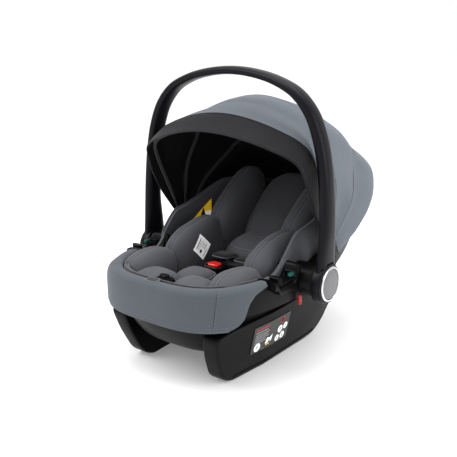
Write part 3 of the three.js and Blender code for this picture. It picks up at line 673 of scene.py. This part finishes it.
def band_line(section, s, past, lift):
    """A line down the band: past the side seam by an angle, and lifted off the cloth."""
    seam = FOOT_END + s * math.radians(BAND_SEAM)
    at = [np.array([seam + s * 0.0008 * (u + 60) + s * past]) for _, u, _ in section]
    return np.array([rim_point(a, o + lift, u)[0] for a, (o, u, _) in zip(at, section)])


BAND_COLUMNS = 240
spread = np.linspace(-1, 1, BAND_COLUMNS)
band_section = Spline([(o, u, 0) for o, u in BAND]).at(np.linspace(0, 1, 52))
rows = [rim_point(FOOT_END + spread * band_reach(u), o, u) for o, u, _ in band_section]
P = wobble(np.array(rows), 0.9, 46.0, 3.0)
edge = np.minimum(np.arange(BAND_COLUMNS), BAND_COLUMNS - 1 - np.arange(BAND_COLUMNS)) / 4.0
tuck = (1 - smooth(edge)) * 2.0
inward = P.mean(axis=0)[None] - P
P = P + inward / (np.linalg.norm(inward, axis=2)[..., None] + 1e-9) * tuck[None, :, None]
band = surf("foot_band", P, ["band"])
ride(band, "shell", ["foot_cover"])
hem = rim_point(FOOT_END + spread[5:-5] * band_reach(-55.0), 11.5, -55.0)
ride(stitches("band_hem_stitch", hem, ["thread"], r=0.3), "shell")
hem = rim_point(FOOT_END + spread[3:-3] * band_reach(-62.5), 8.4, -62.8)
ride(tube("band_hem_cord", hem, 1.4, ["band"]), "shell")
for s, side in SIDES:
    line = band_line(band_section[3:48], s, 0, 0.1)
    ride(tube("band_seam_" + side, line, 0.5, ["dark_thread"]), "shell")
    line = band_line(band_section[6:46], s, 0.018, 0.3)
    ride(stitches("band_seam_stitch_" + side, line, ["thread"], r=0.28), "shell")
tab = cushion(
    "harness_tab", (0, -226, rim_z(-226) + 7.6), (12, 9, 1.6), (0, 0, 0), ["webbing"], square=0.4, lumps=0.2
)
ride_pad(tab)

# ---------------------------------------------------------------- seat cover
FLAP_UP = 60.0


def flap(y):
    """The cover's side flaps stand up beside the body, higher than the rim."""
    return FLAP_UP * smooth((y + 76) / 84) * (1 - smooth((y - 130) / 170))


COVER_PLAN = (149, -217, 309)
COVER = [
    (*COVER_PLAN, lambda y: rim_z(y) + 3 + flap(y)),
    (144, -212, 296, lambda y: rim_z(y) - 28),
    (124, -203, 252, lambda y: rim_z(y) - 58),
    (112, -192, 190, slope(98, 142, -192, 190)),
    (98, -175, 122, slope(84, 108, -175, 122)),
    (70, -140, 84, slope(80, 84, -140, 84)),
    (26, -60, 60, slope(79, 80, -60, 60)),
]
P = bowl_grid(COVER, 60, 260, insets=[(8, 0), (8, 1), (8, 3), (6, 6), (4, 8), (2, 8), (0, 8)])
P = wobble(P, 2.0, 60.0, 1.0)
lip_angles = even_angles(260, COVER_PLAN[0], FOOT, HEAD)
x0, y0 = plan(lip_angles, *COVER_PLAN, 0.8)
x1, y1 = plan(lip_angles, *COVER_PLAN, -3.0)
cut = notch(y0, 28.0) * (np.abs(x0) > 100) * 16.0
raised = flap(y0)
lip = [
    np.stack([x0, y0, rim_z(y0) - 8], -1),
    np.stack([x0 + np.sign(x0) * 1.0, y0, rim_z(y0) + 1.5], -1),
    np.stack([x0 + np.sign(x0) * 0.6, y0, rim_z(y0) + 2.0 + raised * 0.35], -1),
    np.stack([x0 + np.sign(x0) * 0.2, y0, rim_z(y0) + 2.5 + raised * 0.75], -1),
    np.stack([x0, y0, rim_z(y0) + 3.0 + raised * 0.97], -1),
    np.stack([(x0 + x1) / 2, (y0 + y1) / 2, rim_z(y0) + 5.5 + raised], -1),
    np.stack([x1, y1, rim_z(y1) + 4.6 + raised], -1),
]
P[0, :, 2] += 1.0
P = np.concatenate([np.array(lip), P])
fall = np.exp(-np.arange(len(P)) / 5.0)[:, None]
P[:, :, 2] -= cut[None] * fall
P[:, :, 0] -= np.sign(P[:, :, 0]) * cut[None] * fall * 0.3
cover = surf("seat_liner", P, ["cover"], close_u=True, cap="last")
ride(cover, "shell", ["seat_cover"])
x2, y2 = plan(lip_angles, *COVER_PLAN, -1.2)
line = np.stack([x2 - np.sign(x2) * cut * 0.3, y2, rim_z(y2) + 6.0 + raised - cut], -1)
ride(tube("liner_piping", line, 1.5, ["cover"], closed=True), "shell")

# ---------------------------------------------------------------- insert cushions
# Centre, half size, tilt, squareness, face, height of the seam, dents (x, y, width, depth), one on each side.
PADS = {
    "insert_seat_pad": ((0, -72, 104), (74, 86, 16), (3, 0, 0), 0.62, "z", 0.0, (), False),
    "seat_front_pad": ((0, -113, 143), (40, 42, 35), (0, 0, 0), 0.7, "z", 0.7, (), False),
    "lumbar_pad": ((0, 98, 149), (67, 60, 48), (4, 0, 0), 0.62, "z", 0.62, ((0, 14, 11, 8),), False),
    "back_pad": ((0, 180, 224), (66, 104, 37), (42, 0, 0), 0.6, "z", 0.45, (), False),
    "thigh_pad": ((45, -173, 153), (45, 39, 31), (6, 0, 0), 0.7, "z", 0.62, (), True),
    "hip_pad": ((101, -127, 159), (33, 61, 43), (0, 0, 0), 0.75, "x", 0.0, (), True),
    "bolster": ((96, 8, 166), (33, 86, 65), (12, 0, 0), 0.7, "x", 0.0, (), True),
    "wing": ((92, 142, 230), (34, 108, 54), (38, 0, -3), 0.7, "x", 0.0, (), True),
}
for name, (cen, half, tilt, sq, face, seam, dents, pair) in PADS.items():
    for s, side in ((1, "_right"), (-1, "_left")) if pair else ((1, ""),):
        pad = cushion(
            "soft_" + name + side, (s * cen[0], cen[1], cen[2]), half, (tilt[0], s * tilt[1], s * tilt[2]),
            ["insert"], square=sq, seed=cen[1] + s * 7.0, dent=dents, face=face,
            seam=seam if face == "z" else s * -seam,
        )
        ride_pad(pad, [name + side])

ride_pad(cushion("harness_bay", (0, -10, 134), (58, 54, 22), (0, 0, 0), ["black_cloth"], square=0.6, seed=2.0))

# ---------------------------------------------------------------- handle
# Half the handle's arch, from its pivot to its top: x, z, thickness and depth.
ARCH_LINE = [
    (206.5, 164, 18, 60), (206.8, 214, 19.6, 50), (208, 262, 21, 40), (205, 320, 21, 37), (199, 372, 21, 36),
    (188, 420, 21, 36), (169, 463, 20, 36), (139, 495, 18, 36), (100, 514, 16, 36), (52, 526, 15.4, 36),
    (0, 530.4, 15.2, 36),
]
GROOVE = 1.02  # the angle of the four shallow lines moulded along the handle
sp = Spline(ARCH_LINE + [(-x, z, t, d) for x, z, t, d in ARCH_LINE[:-1][::-1]])
N = 150
u = np.linspace(0, 1, N)
c = sp.at(u)
tan = sp.tangent(u)[:, :2]
tan /= np.linalg.norm(tan, axis=1)[:, None]
nrm = np.stack([tan[:, 1], -tan[:, 0]], -1)
around = np.arange(40) / 40 * 2 * math.pi
across = power(np.cos(around), 0.72)
along = power(np.sin(around), 0.82)
lines = (GROOVE, math.pi - GROOVE, -GROOVE, math.pi + GROOVE)
beside = [(around - g + math.pi) % (2 * math.pi) - math.pi for g in lines]
groove = 1 - 0.035 * sum(np.exp(-((t / 0.07) ** 2)) for t in beside)
P = np.zeros((N, 40, 3))
for i in range(N):
    P[i, :, 0] = c[i, 0] + nrm[i, 0] * across * groove * c[i, 2] / 2
    P[i, :, 2] = c[i, 1] + nrm[i, 1] * across * groove * c[i, 2] / 2
    P[i, :, 1] = along * groove * c[i, 3] / 2
in_hub = np.hypot(P[..., 1], P[..., 2] - PIVOT_Z) < 35
P[..., 0] = np.where(in_hub, np.clip(P[..., 0], -RECESS_X, RECESS_X), P[..., 0])
o = surf("handle_arch", P, ["handle"], close_u=True, cap=True, sharp=50)
ride(o, "handle", ["handle_frame"])


HUB = [
    (197, 12), (197, 34), (198, 36.3), (200.5, 37), (213.5, 37), (216.2, 35.8), (217, 33.6), (217, 28.2),
    (RECESS_X + 0.1, 28), (RECESS_X + 0.1, 10),
]
CAP = [
    (212.8, 27.4), (218.4, 27.4), (219.6, 26.6), (220.2, 25), (220.0, 23.4), (219.7, 22.8), (220.1, 21.8),
    (220.6, 18), (220.8, 4), (220.8, 0.3),
]
TRIM = [(217.2, 28.0), (217.2, 32.2), (218.8, 32.3), (219.9, 31.4), (220.4, 30), (220, 28.6), (219, 28.0)]


def build_hub(s, side):
    hub = turned("handle_hub_" + side, HUB, 0, PIVOT_Z, ["handle"], s)
    ride(hub, "handle")
    button = turned("release_cap_" + side, CAP, 0, PIVOT_Z, ["disc"], s)
    ride(button, "release_" + side, ["release_button_" + side])
    ring = turned("hub_ring_" + side, TRIM, 0, PIVOT_Z, ["chrome"], s, loop=True)
    ride(ring, "handle", ["trim_ring_" + side])


for s, side in SIDES:
    build_hub(s, side)

# ---------------------------------------------------------------- canopy
# Half the canopy's arch, from the hinge to its top: x, and distance from the hinge's axis.
ARCH = [
    (184, 26), (185, 80), (184, 130), (178, 176), (167, 216), (148, 233), (124, 245), (95, 257), (62, 267),
    (30, 273), (0, 275),
]
arch = Spline([(x, d, 0) for x, d in ARCH] + [(-x, d, 0) for x, d in ARCH[:-1][::-1]])
arch_places = np.linspace(0, 1, 2000)
arch_points = arch.at(arch_places)
arch_run = np.concatenate([[0], np.cumsum(np.linalg.norm(np.diff(arch_points, axis=0), axis=1))])


def arch_u(n):
    """Places that step evenly along the arch."""
    return np.interp(np.linspace(0, arch_run[-1], n), arch_run, arch_places)


# The arch at each plane angle: how wide and how high it is above the hinge.
TAPER = [
    (BOW_R, 0.88, 1.0), (65, 0.905, 1.005), (BOW_M, 0.89, 0.996), (98, 0.92, 0.97), (BRIM_B, 1.035, 0.964),
    (BRIM_A, 1.04, 0.948),
]
FLARE = 6.5  # degrees the brim's front edge goes forward beside the hinge


def taper(angle):
    for (a0, w0, h0), (a1, w1, h1) in zip(TAPER, TAPER[1:]):
        if angle <= a1:
            break
    t = smooth((angle - a0) / (a1 - a0))
    return lerp(w0, w1, t), lerp(h0, h1, t)


def canopy_points(u, angle, depth):
    """Points over the canopy: u along the arch, plane angle round the pivot, depth under the surface."""
    p = arch.at(u)
    t = arch.tangent(u)
    wide, high = taper(angle)
    up = smooth((p[:, 1] - 100) / 110)
    x = (p[:, 0] - t[:, 1] * depth) * (1 + up * (wide - 1))
    d = (p[:, 1] + t[:, 0] * depth) * (1 + up * (high - 1))
    out = FLARE * np.clip((angle - BRIM_B) / (BRIM_A - BRIM_B), 0, 1) * smooth((225 - p[:, 1]) / 150)
    r = np.radians(angle + out)
    return np.stack([x, CANOPY_Y + d * np.cos(r), CANOPY_Z + d * np.sin(r)], -1)


CANOPY_COLUMNS = 150
ACROSS = arch_u(CANOPY_COLUMNS)


CLOTH = 1.6  # from the outside of the cloth to its lining


def panel(name, a0, a1, n, sag, seed):
    """A fabric panel between two bows, drawn in a little between them, with its lining inside."""
    ang = np.linspace(a0, a1, n)
    depth = 0.2 + sag * np.sin(np.linspace(0, 1, n) * math.pi)
    even = np.array([canopy_points(ACROSS, a, d) for a, d in zip(ang, depth)])
    outer = wobble(even, 0.9, 42.0, seed)
    lining = np.array([canopy_points(ACROSS, a, d + CLOTH) for a, d in zip(ang, depth)]) + (outer - even)
    P = np.concatenate([outer, lining[::-1]])
    return surf(name, P, ["canopy", "lining"], close_v=True, second=lambda i, j: i >= n - 1)


def row_point(x, y, z):
    return (x / 1000.0, (y + SHIFT) / 1000.0, z / 1000.0)


front = panel("cloth_front", BRIM_B + 1.0, BOW_M, 22, 2.2, seed=4.0)
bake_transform(front)
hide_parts("canopy_front_panel")

mid = panel("cloth_middle", BOW_M, BOW_R, 30, 3.2, seed=9.0)
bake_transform(mid)
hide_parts("canopy_middle_panel")

# the skirt: from the rear bow down to a hem outside the rim, full in the middle
SKIRT_FULLNESS = 48.0
SKIRT_HALF_WIDTH = 174  # the cloth is held in past this, clear of the handle
n = 26
drop = np.linspace(0, 1, n)
uu = np.linspace(0, 1, CANOPY_COLUMNS)
hem_angles = np.radians(np.linspace(6, 174, CANOPY_COLUMNS))
hem_line = rim_point(hem_angles, 16.0, -14.0)
top_line = canopy_points(ACROSS, BOW_R + 0.7, 0.0)
cen = np.array([0, 120, 240.0])
fullness = SKIRT_FULLNESS * np.sin(math.pi * uu) ** 0.6 * (1 - 0.3 * np.exp(-((uu - 0.5) / 0.16) ** 2))
rows = []
for t in drop:
    p = lerp(top_line, hem_line, t)
    d = p - cen
    d /= np.linalg.norm(d, axis=1)[:, None]
    p = p + d * fullness[:, None] * math.sin(math.pi * t**1.35)
    over = np.maximum(np.abs(p[:, 0]) - SKIRT_HALF_WIDTH, 0) / 12
    p[:, 0] -= np.sign(p[:, 0]) * 12 * (over - np.tanh(over)) * smooth(t * 5)
    rows.append(p)
outer = wobble(np.array(rows), 1.3, 40.0, 12.0)
outward = outer - cen
outward /= np.linalg.norm(outward, axis=2)[..., None]
P = np.concatenate([outer, (outer - outward * CLOTH)[::-1]])
skirt = surf("cloth_skirt", P, ["canopy", "lining"], close_v=True, second=lambda i, j: i >= n - 1)
w = np.concatenate([1 - drop, (1 - drop)[::-1]])
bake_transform(skirt)
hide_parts("canopy_rear_skirt")

# brim: a stiffened black band, turned in at its front edge
ang = np.linspace(BRIM_B, BRIM_A, 16)
rows = [canopy_points(ACROSS, a, -0.6 * math.sin(math.pi * k / 15)) for k, a in enumerate(ang)]
rows += [canopy_points(ACROSS, BRIM_A + more, depth) for more, depth in ((0.35, 1.0), (0.4, 2.2), (0.1, 3.4))]
rows += [canopy_points(ACROSS, a, 3.6) for a in ang[::-1]]
o = surf("brim_band", np.array(rows), ["brim", "lining"], close_v=True, second=lambda i, j: i > 19)
ride(o, "front_bow", ["canopy_brim"])
ride(tube("brim_piping", canopy_points(ACROSS[4:-4], BRIM_B, 0.3), 1.3, ["brim"]), "front_bow")
o = stitches("brim_stitch", canopy_points(ACROSS, BRIM_A - 1.1, -0.5), ["dark_thread"])
ride(o, "front_bow")

for label, angle, body in (("middle", BOW_M, "middle_bow"), ("rear", BOW_R, "rear_bow")):
    ride(tube("seam_" + label, canopy_points(ACROSS, angle, 0.5), 1.0, ["canopy"]), body)
    for off in (-0.8, 0.8):
        line = canopy_points(ACROSS, angle + off, 0.0)
        o = stitches("seam_stitch_%s_%d" % (label, off > 0), line, ["thread"], r=0.3)
        ride(o, body)
ride(tube("skirt_hem", hem_line + np.array([0, 0, -0.4]), 1.5, ["canopy"]), "shell")


BOW_DEPTH = 8.6  # from the cloth in to a bow's middle
EYE = [(0, 4.4), (0, 8.4), (0.5, 9), (2.7, 9), (3.2, 8.4), (3.2, 4.4)]


def bow_visual(label, angle, eye_x, body):
    """A bow in its sleeve, flattened out into an eye round the hinge's pin at each end."""
    us = arch_u(120)
    p = arch.at(us)
    t = arch.tangent(us)
    foot = smooth((90 - p[:, 1]) / 60)
    wide, high = taper(angle)
    up = smooth((p[:, 1] - 100) / 110)
    cx = lerp((p[:, 0] - t[:, 1] * BOW_DEPTH) * (1 + up * (wide - 1)), np.sign(p[:, 0]) * (eye_x + 1.6), foot)
    cd = (p[:, 1] + t[:, 0] * BOW_DEPTH) * (1 + up * (high - 1))
    r = math.radians(angle)
    line = np.stack([cx, CANOPY_Y + cd * math.cos(r), CANOPY_Z + cd * math.sin(r)], -1)
    for s in (1, -1):
        end = np.array([s * (eye_x + 1.6), CANOPY_Y + 6 * math.cos(r), CANOPY_Z + 6 * math.sin(r)])
        line = np.vstack([end, line]) if s > 0 else np.vstack([line, end])
    radius = lerp(3.3, 1.7, np.concatenate([[1], foot, [1]]))
    o = tube("rib_" + label, line, radius, ["sleeve"], n=14)
    ride(o, body, [body])
    for s, side in SIDES:
        section = [(eye_x + x, radius) for x, radius in EYE]
        name = "rib_eye_%s_%s" % (label, side)
        eye = turned(name, section, CANOPY_Y, CANOPY_Z, ["black"], s, n=32, loop=True)
        ride(eye, body)


bow_visual("rear", BOW_R, 169.5, "rear_bow")
bow_visual("middle", BOW_M, 173.3, "middle_bow")
bow_visual("front", BOW_F, 177.1, "front_bow")

# ---------------------------------------------------------------- CAD pieces that keep their own shape
KEEP = {
    "foam_liner": "foam", "buckle_housing": "black", "buckle_button": "red",
    "adjuster_housing": "black", "adjuster_button": "black",
    "side_label": "dark_label",
}
for side in ("left", "right"):
    # The lock tabs take the darker copy of the red plastic: painted shade.
    for nm, mt in (("tongue", "black"), ("belt_guide", "black"), ("belt_hook", "teal"),
                   ("pivot_pin", "steel"), ("hinge_mount", "black"), ("lock_tab", "dark_red")):
        KEEP["%s_%s" % (nm, side)] = mt
for nm, mt in KEEP.items():
    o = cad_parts[nm]
    o.data.materials.clear()
    o.data.materials.append(MATS[mt])
    if nm == "foam_liner":
        continue
    bevel = o.modifiers.new("edges", "BEVEL")
    bevel.width = 0.0005
    bevel.segments = 2
    bevel.limit_method = "ANGLE"
    bevel.angle_limit = math.radians(32)
    bevel.harden_normals = False

# ---------------------------------------------------------------- harness, springs, guides and labels
STRAP_LINE = [(21, -13.2, 157), (23, -1, 151), (27, 11, 138), (29, 18, 118), (30, 19, 99)]
COIL_R, COIL_TURNS = 17, 3  # the spring behind a release button
# The section of the moulded tray round a belt guide: distance across, and up from its edge line.
TRAY = [
    (131, -9), (132.5, -2.5), (136, 0), (146, 0.4), (160, 0), (171, -1.2), (175.5, -4), (177, -9), (176, -16),
    (133, -16),
]


def build_strap(s, side):
    strap = ribbon("web_" + side, [(s * x, y, z) for x, y, z in STRAP_LINE], 25, 2, ["webbing"])
    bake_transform(strap)
    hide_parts("harness_strap_" + side)
    pad = cushion(
        "strap_cover_" + side, (s * 27, 12, 168.5), (20, 24, 6), (-6, 0, 0), ["black_cloth"],
        square=0.5, lumps=0.6, seed=s,
    )
    ride_pad(pad, ["strap_pad_" + side])


def build_spring(s, side):
    a = np.linspace(0, COIL_TURNS * 2 * math.pi, 150)
    x = np.interp(a, [0, 1.2, a[-1] - 1.2, a[-1]], [206.4, 206.8, 210.2, 210.6])
    line = np.stack([s * x, COIL_R * np.cos(a), PIVOT_Z + COIL_R * np.sin(a)], -1)
    coil = tube("coil_" + side, line, 0.45, ["steel"], n=8)
    ride(coil, "handle", ["button_spring_" + side])
    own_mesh(coil)


def build_tray(s, side):
    y = np.linspace(-113, -34, 60)
    dip = smooth((y + 106) / 12) * (1 - smooth((y + 50) / 10))
    z = rim_z(y) + 7.0 - 12.0 * dip + 15.0 * smooth((y + 56) / 20)
    P = np.array([np.stack([np.full(60, s * x), y, z + dz], -1) for x, dz in TRAY]).transpose(1, 0, 2)
    tray = surf("guide_tray_" + side, P, ["black"], close_u=True, cap=True, sharp=50)
    ride(tray, "shell")


for s, side in SIDES:
    build_strap(s, side)
    build_spring(s, side)
    build_tray(s, side)
pad = cushion(
    "crotch_cover", (0, -54, 134.7), (24.5, 7, 15.5), (0, 0, 0), ["black_cloth"],
    square=0.4, lumps=0.5, seed=6.0,
)
ride_pad(pad, ["crotch_pad"])
pull = [(0, -184.5, 184), (0, -176, 168), (0, -184, 140), (0, -183, 116)]
ride(ribbon("adjuster_web", pull, 20, 2, ["webbing"]), "shell", ["adjuster_strap"])


def marks(name, items, place):
    """Flat printed marks: each is a material and its outline in the label's own plane."""
    V, F, mi = [], [], []
    mats = sorted({m for m, _ in items})
    for m, loop in items:
        F.append(tuple(range(len(V), len(V) + len(loop))))
        V += [place(u, v) for u, v in loop]
        mi.append(mats.index(m))
    o = make(name, to_row(np.array(V)), F, mats, [(0.0, 0.0)] * sum(len(f) for f in F), mi)
    ride(o, "shell")


def bar(m, u0, u1, v0, v1):
    return (m, [(u0, v0), (u1, v0), (u1, v1), (u0, v1)])


def spot(m, u, v, r):
    turn = [2 * math.pi * k / 28 for k in range(28)]
    return (m, [(u + r * math.cos(t), v + r * math.sin(t)) for t in turn])


side_marks = [bar("red_ink", -104, -66, 86, 88.5), bar("grey_ink", -104, -70, 80, 82)]
for k, w in enumerate((40, 36, 38, 30, 34)):
    side_marks.append(bar("grey_ink", -104, -104 + w, 75 - 4 * k, 76.6 - 4 * k))
for u, v, r in ((-28, 66, 7.5), (-11, 68, 6.5), (-34, 49, 6.5), (-17, 50, 7), (-94, 50, 8.5)):
    side_marks += [
        spot("white_label", u, v, r),
        spot("black_ink", u, v + 1.0, r * 0.34),
        bar("black_ink", u - r * 0.4, u + r * 0.4, v - r * 0.55, v - r * 0.3),
    ]
side_marks += [
    spot("red_ink", -24, 84, 6.5),
    spot("dark_label", -24, 84, 4.9),
    bar("red_ink", -29, -19, 83.3, 84.7),
    ("white_label", [(-72, 50), (-54, 52), (-52, 64), (-60, 60), (-68, 62)]),
    bar("yellow", -70, -60, 46.5, 49),
    bar("grey_ink", -80, -20, 42.3, 43.3),
]


def on_side(u, v):
    """A point on the side label's face."""
    return (float(runner_x(117, np.float64(u), v)) + 1.45, u, v)


marks("side_label_marks", side_marks, on_side)


def press_on(target, y, z, side=-1, lift=0.8):
    """The point of a piece's inner face at height z and place y, lifted a little off it."""
    start = Vector(row_point(0.0, y, z))
    hit, where, normal, _ = target.ray_cast(start, Vector((float(side), 0.0, 0.0)))
    p = np.array(where) * 1000.0 if hit else np.array([side * 90.0, y + SHIFT, z])
    if hit:
        away = -1.0 if normal.x * side > 0 else 1.0
        p += np.array(normal) * lift * away
    return (p[0], p[1] - SHIFT, p[2])


def patch(name, target, corners, mat, lift, n=14):
    """A thin sheet pressed on to a soft piece: corners are (y, z) of its outline's four corners."""
    c = np.array(corners, float)
    V, F = [], []
    for i in range(n + 1):
        for j in range(n + 1):
            p = lerp(lerp(c[0], c[1], j / n), lerp(c[3], c[2], j / n), i / n)
            V.append(press_on(target, p[0], p[1], lift=lift))
    for i in range(n):
        for j in range(n):
            k = i * (n + 1) + j
            F.append((k, k + 1, k + n + 2, k + n + 1))
    o = make(name, to_row(np.array(V)), F, [mat], [(0.0, 0.0)] * (4 * len(F)))
    return ride(o, "shell")


bpy.context.view_layer.update()
bolster = bpy.data.objects["soft_bolster_left"]
CARE_Y, CARE_Z = -15, 185  # the middle of the care label, which stands on its corner
C45 = math.sqrt(0.5)
h = 18.5 * math.sqrt(2)
corners = [(CARE_Y, CARE_Z + h), (CARE_Y + h, CARE_Z), (CARE_Y, CARE_Z - h), (CARE_Y - h, CARE_Z)]
o = patch("care_label_sheet", bolster, corners, "white_label", 0.9)
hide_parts("care_label")


def care_bar(k, mat, u0, u1, v0, v1):
    c = [(CARE_Y + C45 * (u - v), CARE_Z + C45 * (u + v)) for u, v in ((u0, v0), (u1, v0), (u1, v1), (u0, v1))]
    patch("care_mark_%d" % k, bolster, c, mat, 1.2, n=4)


bars = [
    ("black_ink", -13, 13, 12, 14), ("grey_ink", -13, 9, 8.6, 9.6), ("grey_ink", -13, 12, 6, 7),
    ("black_ink", -13, -6, -3, 3),
]
bars += [("grey_ink", -2, 13 - 2 * (k % 3), 2.4 - 2.8 * k, 3.4 - 2.8 * k) for k in range(5)]
bars.append(("black_ink", -13, 4, -13.8, -12.4))
for k, item in enumerate(bars):
    care_bar(k, *item)
corners = [(50, 216), (108, 252), (110, 230), (110, 206)]
o = patch("warning_sheet", cover, corners, "yellow", 1.0)
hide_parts("rim_label")
patch("warning_white", cover, [(84, 212), (88, 226), (108, 226), (109, 208)], "white_label", 1.3, n=6)
patch("warning_mark", cover, [(76, 220), (83, 237), (86, 232), (92, 219)], "black_ink", 1.4, n=6)

# ---------------------------------------------------------------- floor and light
bpy.ops.mesh.primitive_plane_add(size=60, location=(0, 0, 0))
floor = bpy.context.object
floor.name = "floor"
floor_mat = bpy.data.materials.new("floor")
floor_mat.use_nodes = True
floor_shader = floor_mat.node_tree.nodes["Principled BSDF"]
for socket, value in (
    ("Base Color", (0.9, 0.9, 0.9, 1)), ("Roughness", 0.6), ("Specular IOR Level", 0.1),
    ("Emission Color", (1, 1, 1, 1)), ("Emission Strength", 0.16),
):
    floor_shader.inputs[socket].default_value = value
floor.data.materials.append(floor_mat)

world = bpy.data.worlds.new("studio")
world.use_nodes = True
world.node_tree.nodes["Background"].inputs[0].default_value = (1, 1, 1, 1)
world.node_tree.nodes["Background"].inputs[1].default_value = 1.0
bpy.context.scene.world = world


def softbox(name, place, target, size, energy, size_y=None):
    """An area light that faces target."""
    d = bpy.data.lights.new(name, "AREA")
    d.energy = energy
    d.size = size
    if size_y:
        d.shape = "RECTANGLE"
        d.size_y = size_y
    o = bpy.data.objects.new(name, d)
    bpy.context.scene.collection.objects.link(o)
    o.location = place
    o.rotation_mode = "QUATERNION"
    o.rotation_quaternion = (Vector(target) - Vector(place)).to_track_quat("-Z", "Y")


softbox("key", (-1.2, -1.3, 1.9), (0, 0, 0.2), 1.2, 26)
softbox("side", (2.2, 0.3, 1.1), (0, 0, 0.25), 1.0, 18, 1.6)
softbox("top", (0.2, 0.4, 2.4), (0, 0, 0.2), 1.6, 22)
softbox("front", (-0.12, -0.5, 1.25), (0, -0.24, 0.16), 0.4, 3)

bpy.context.scene.view_settings.view_transform = "Standard"
bpy.context.scene.view_settings.look = "None"
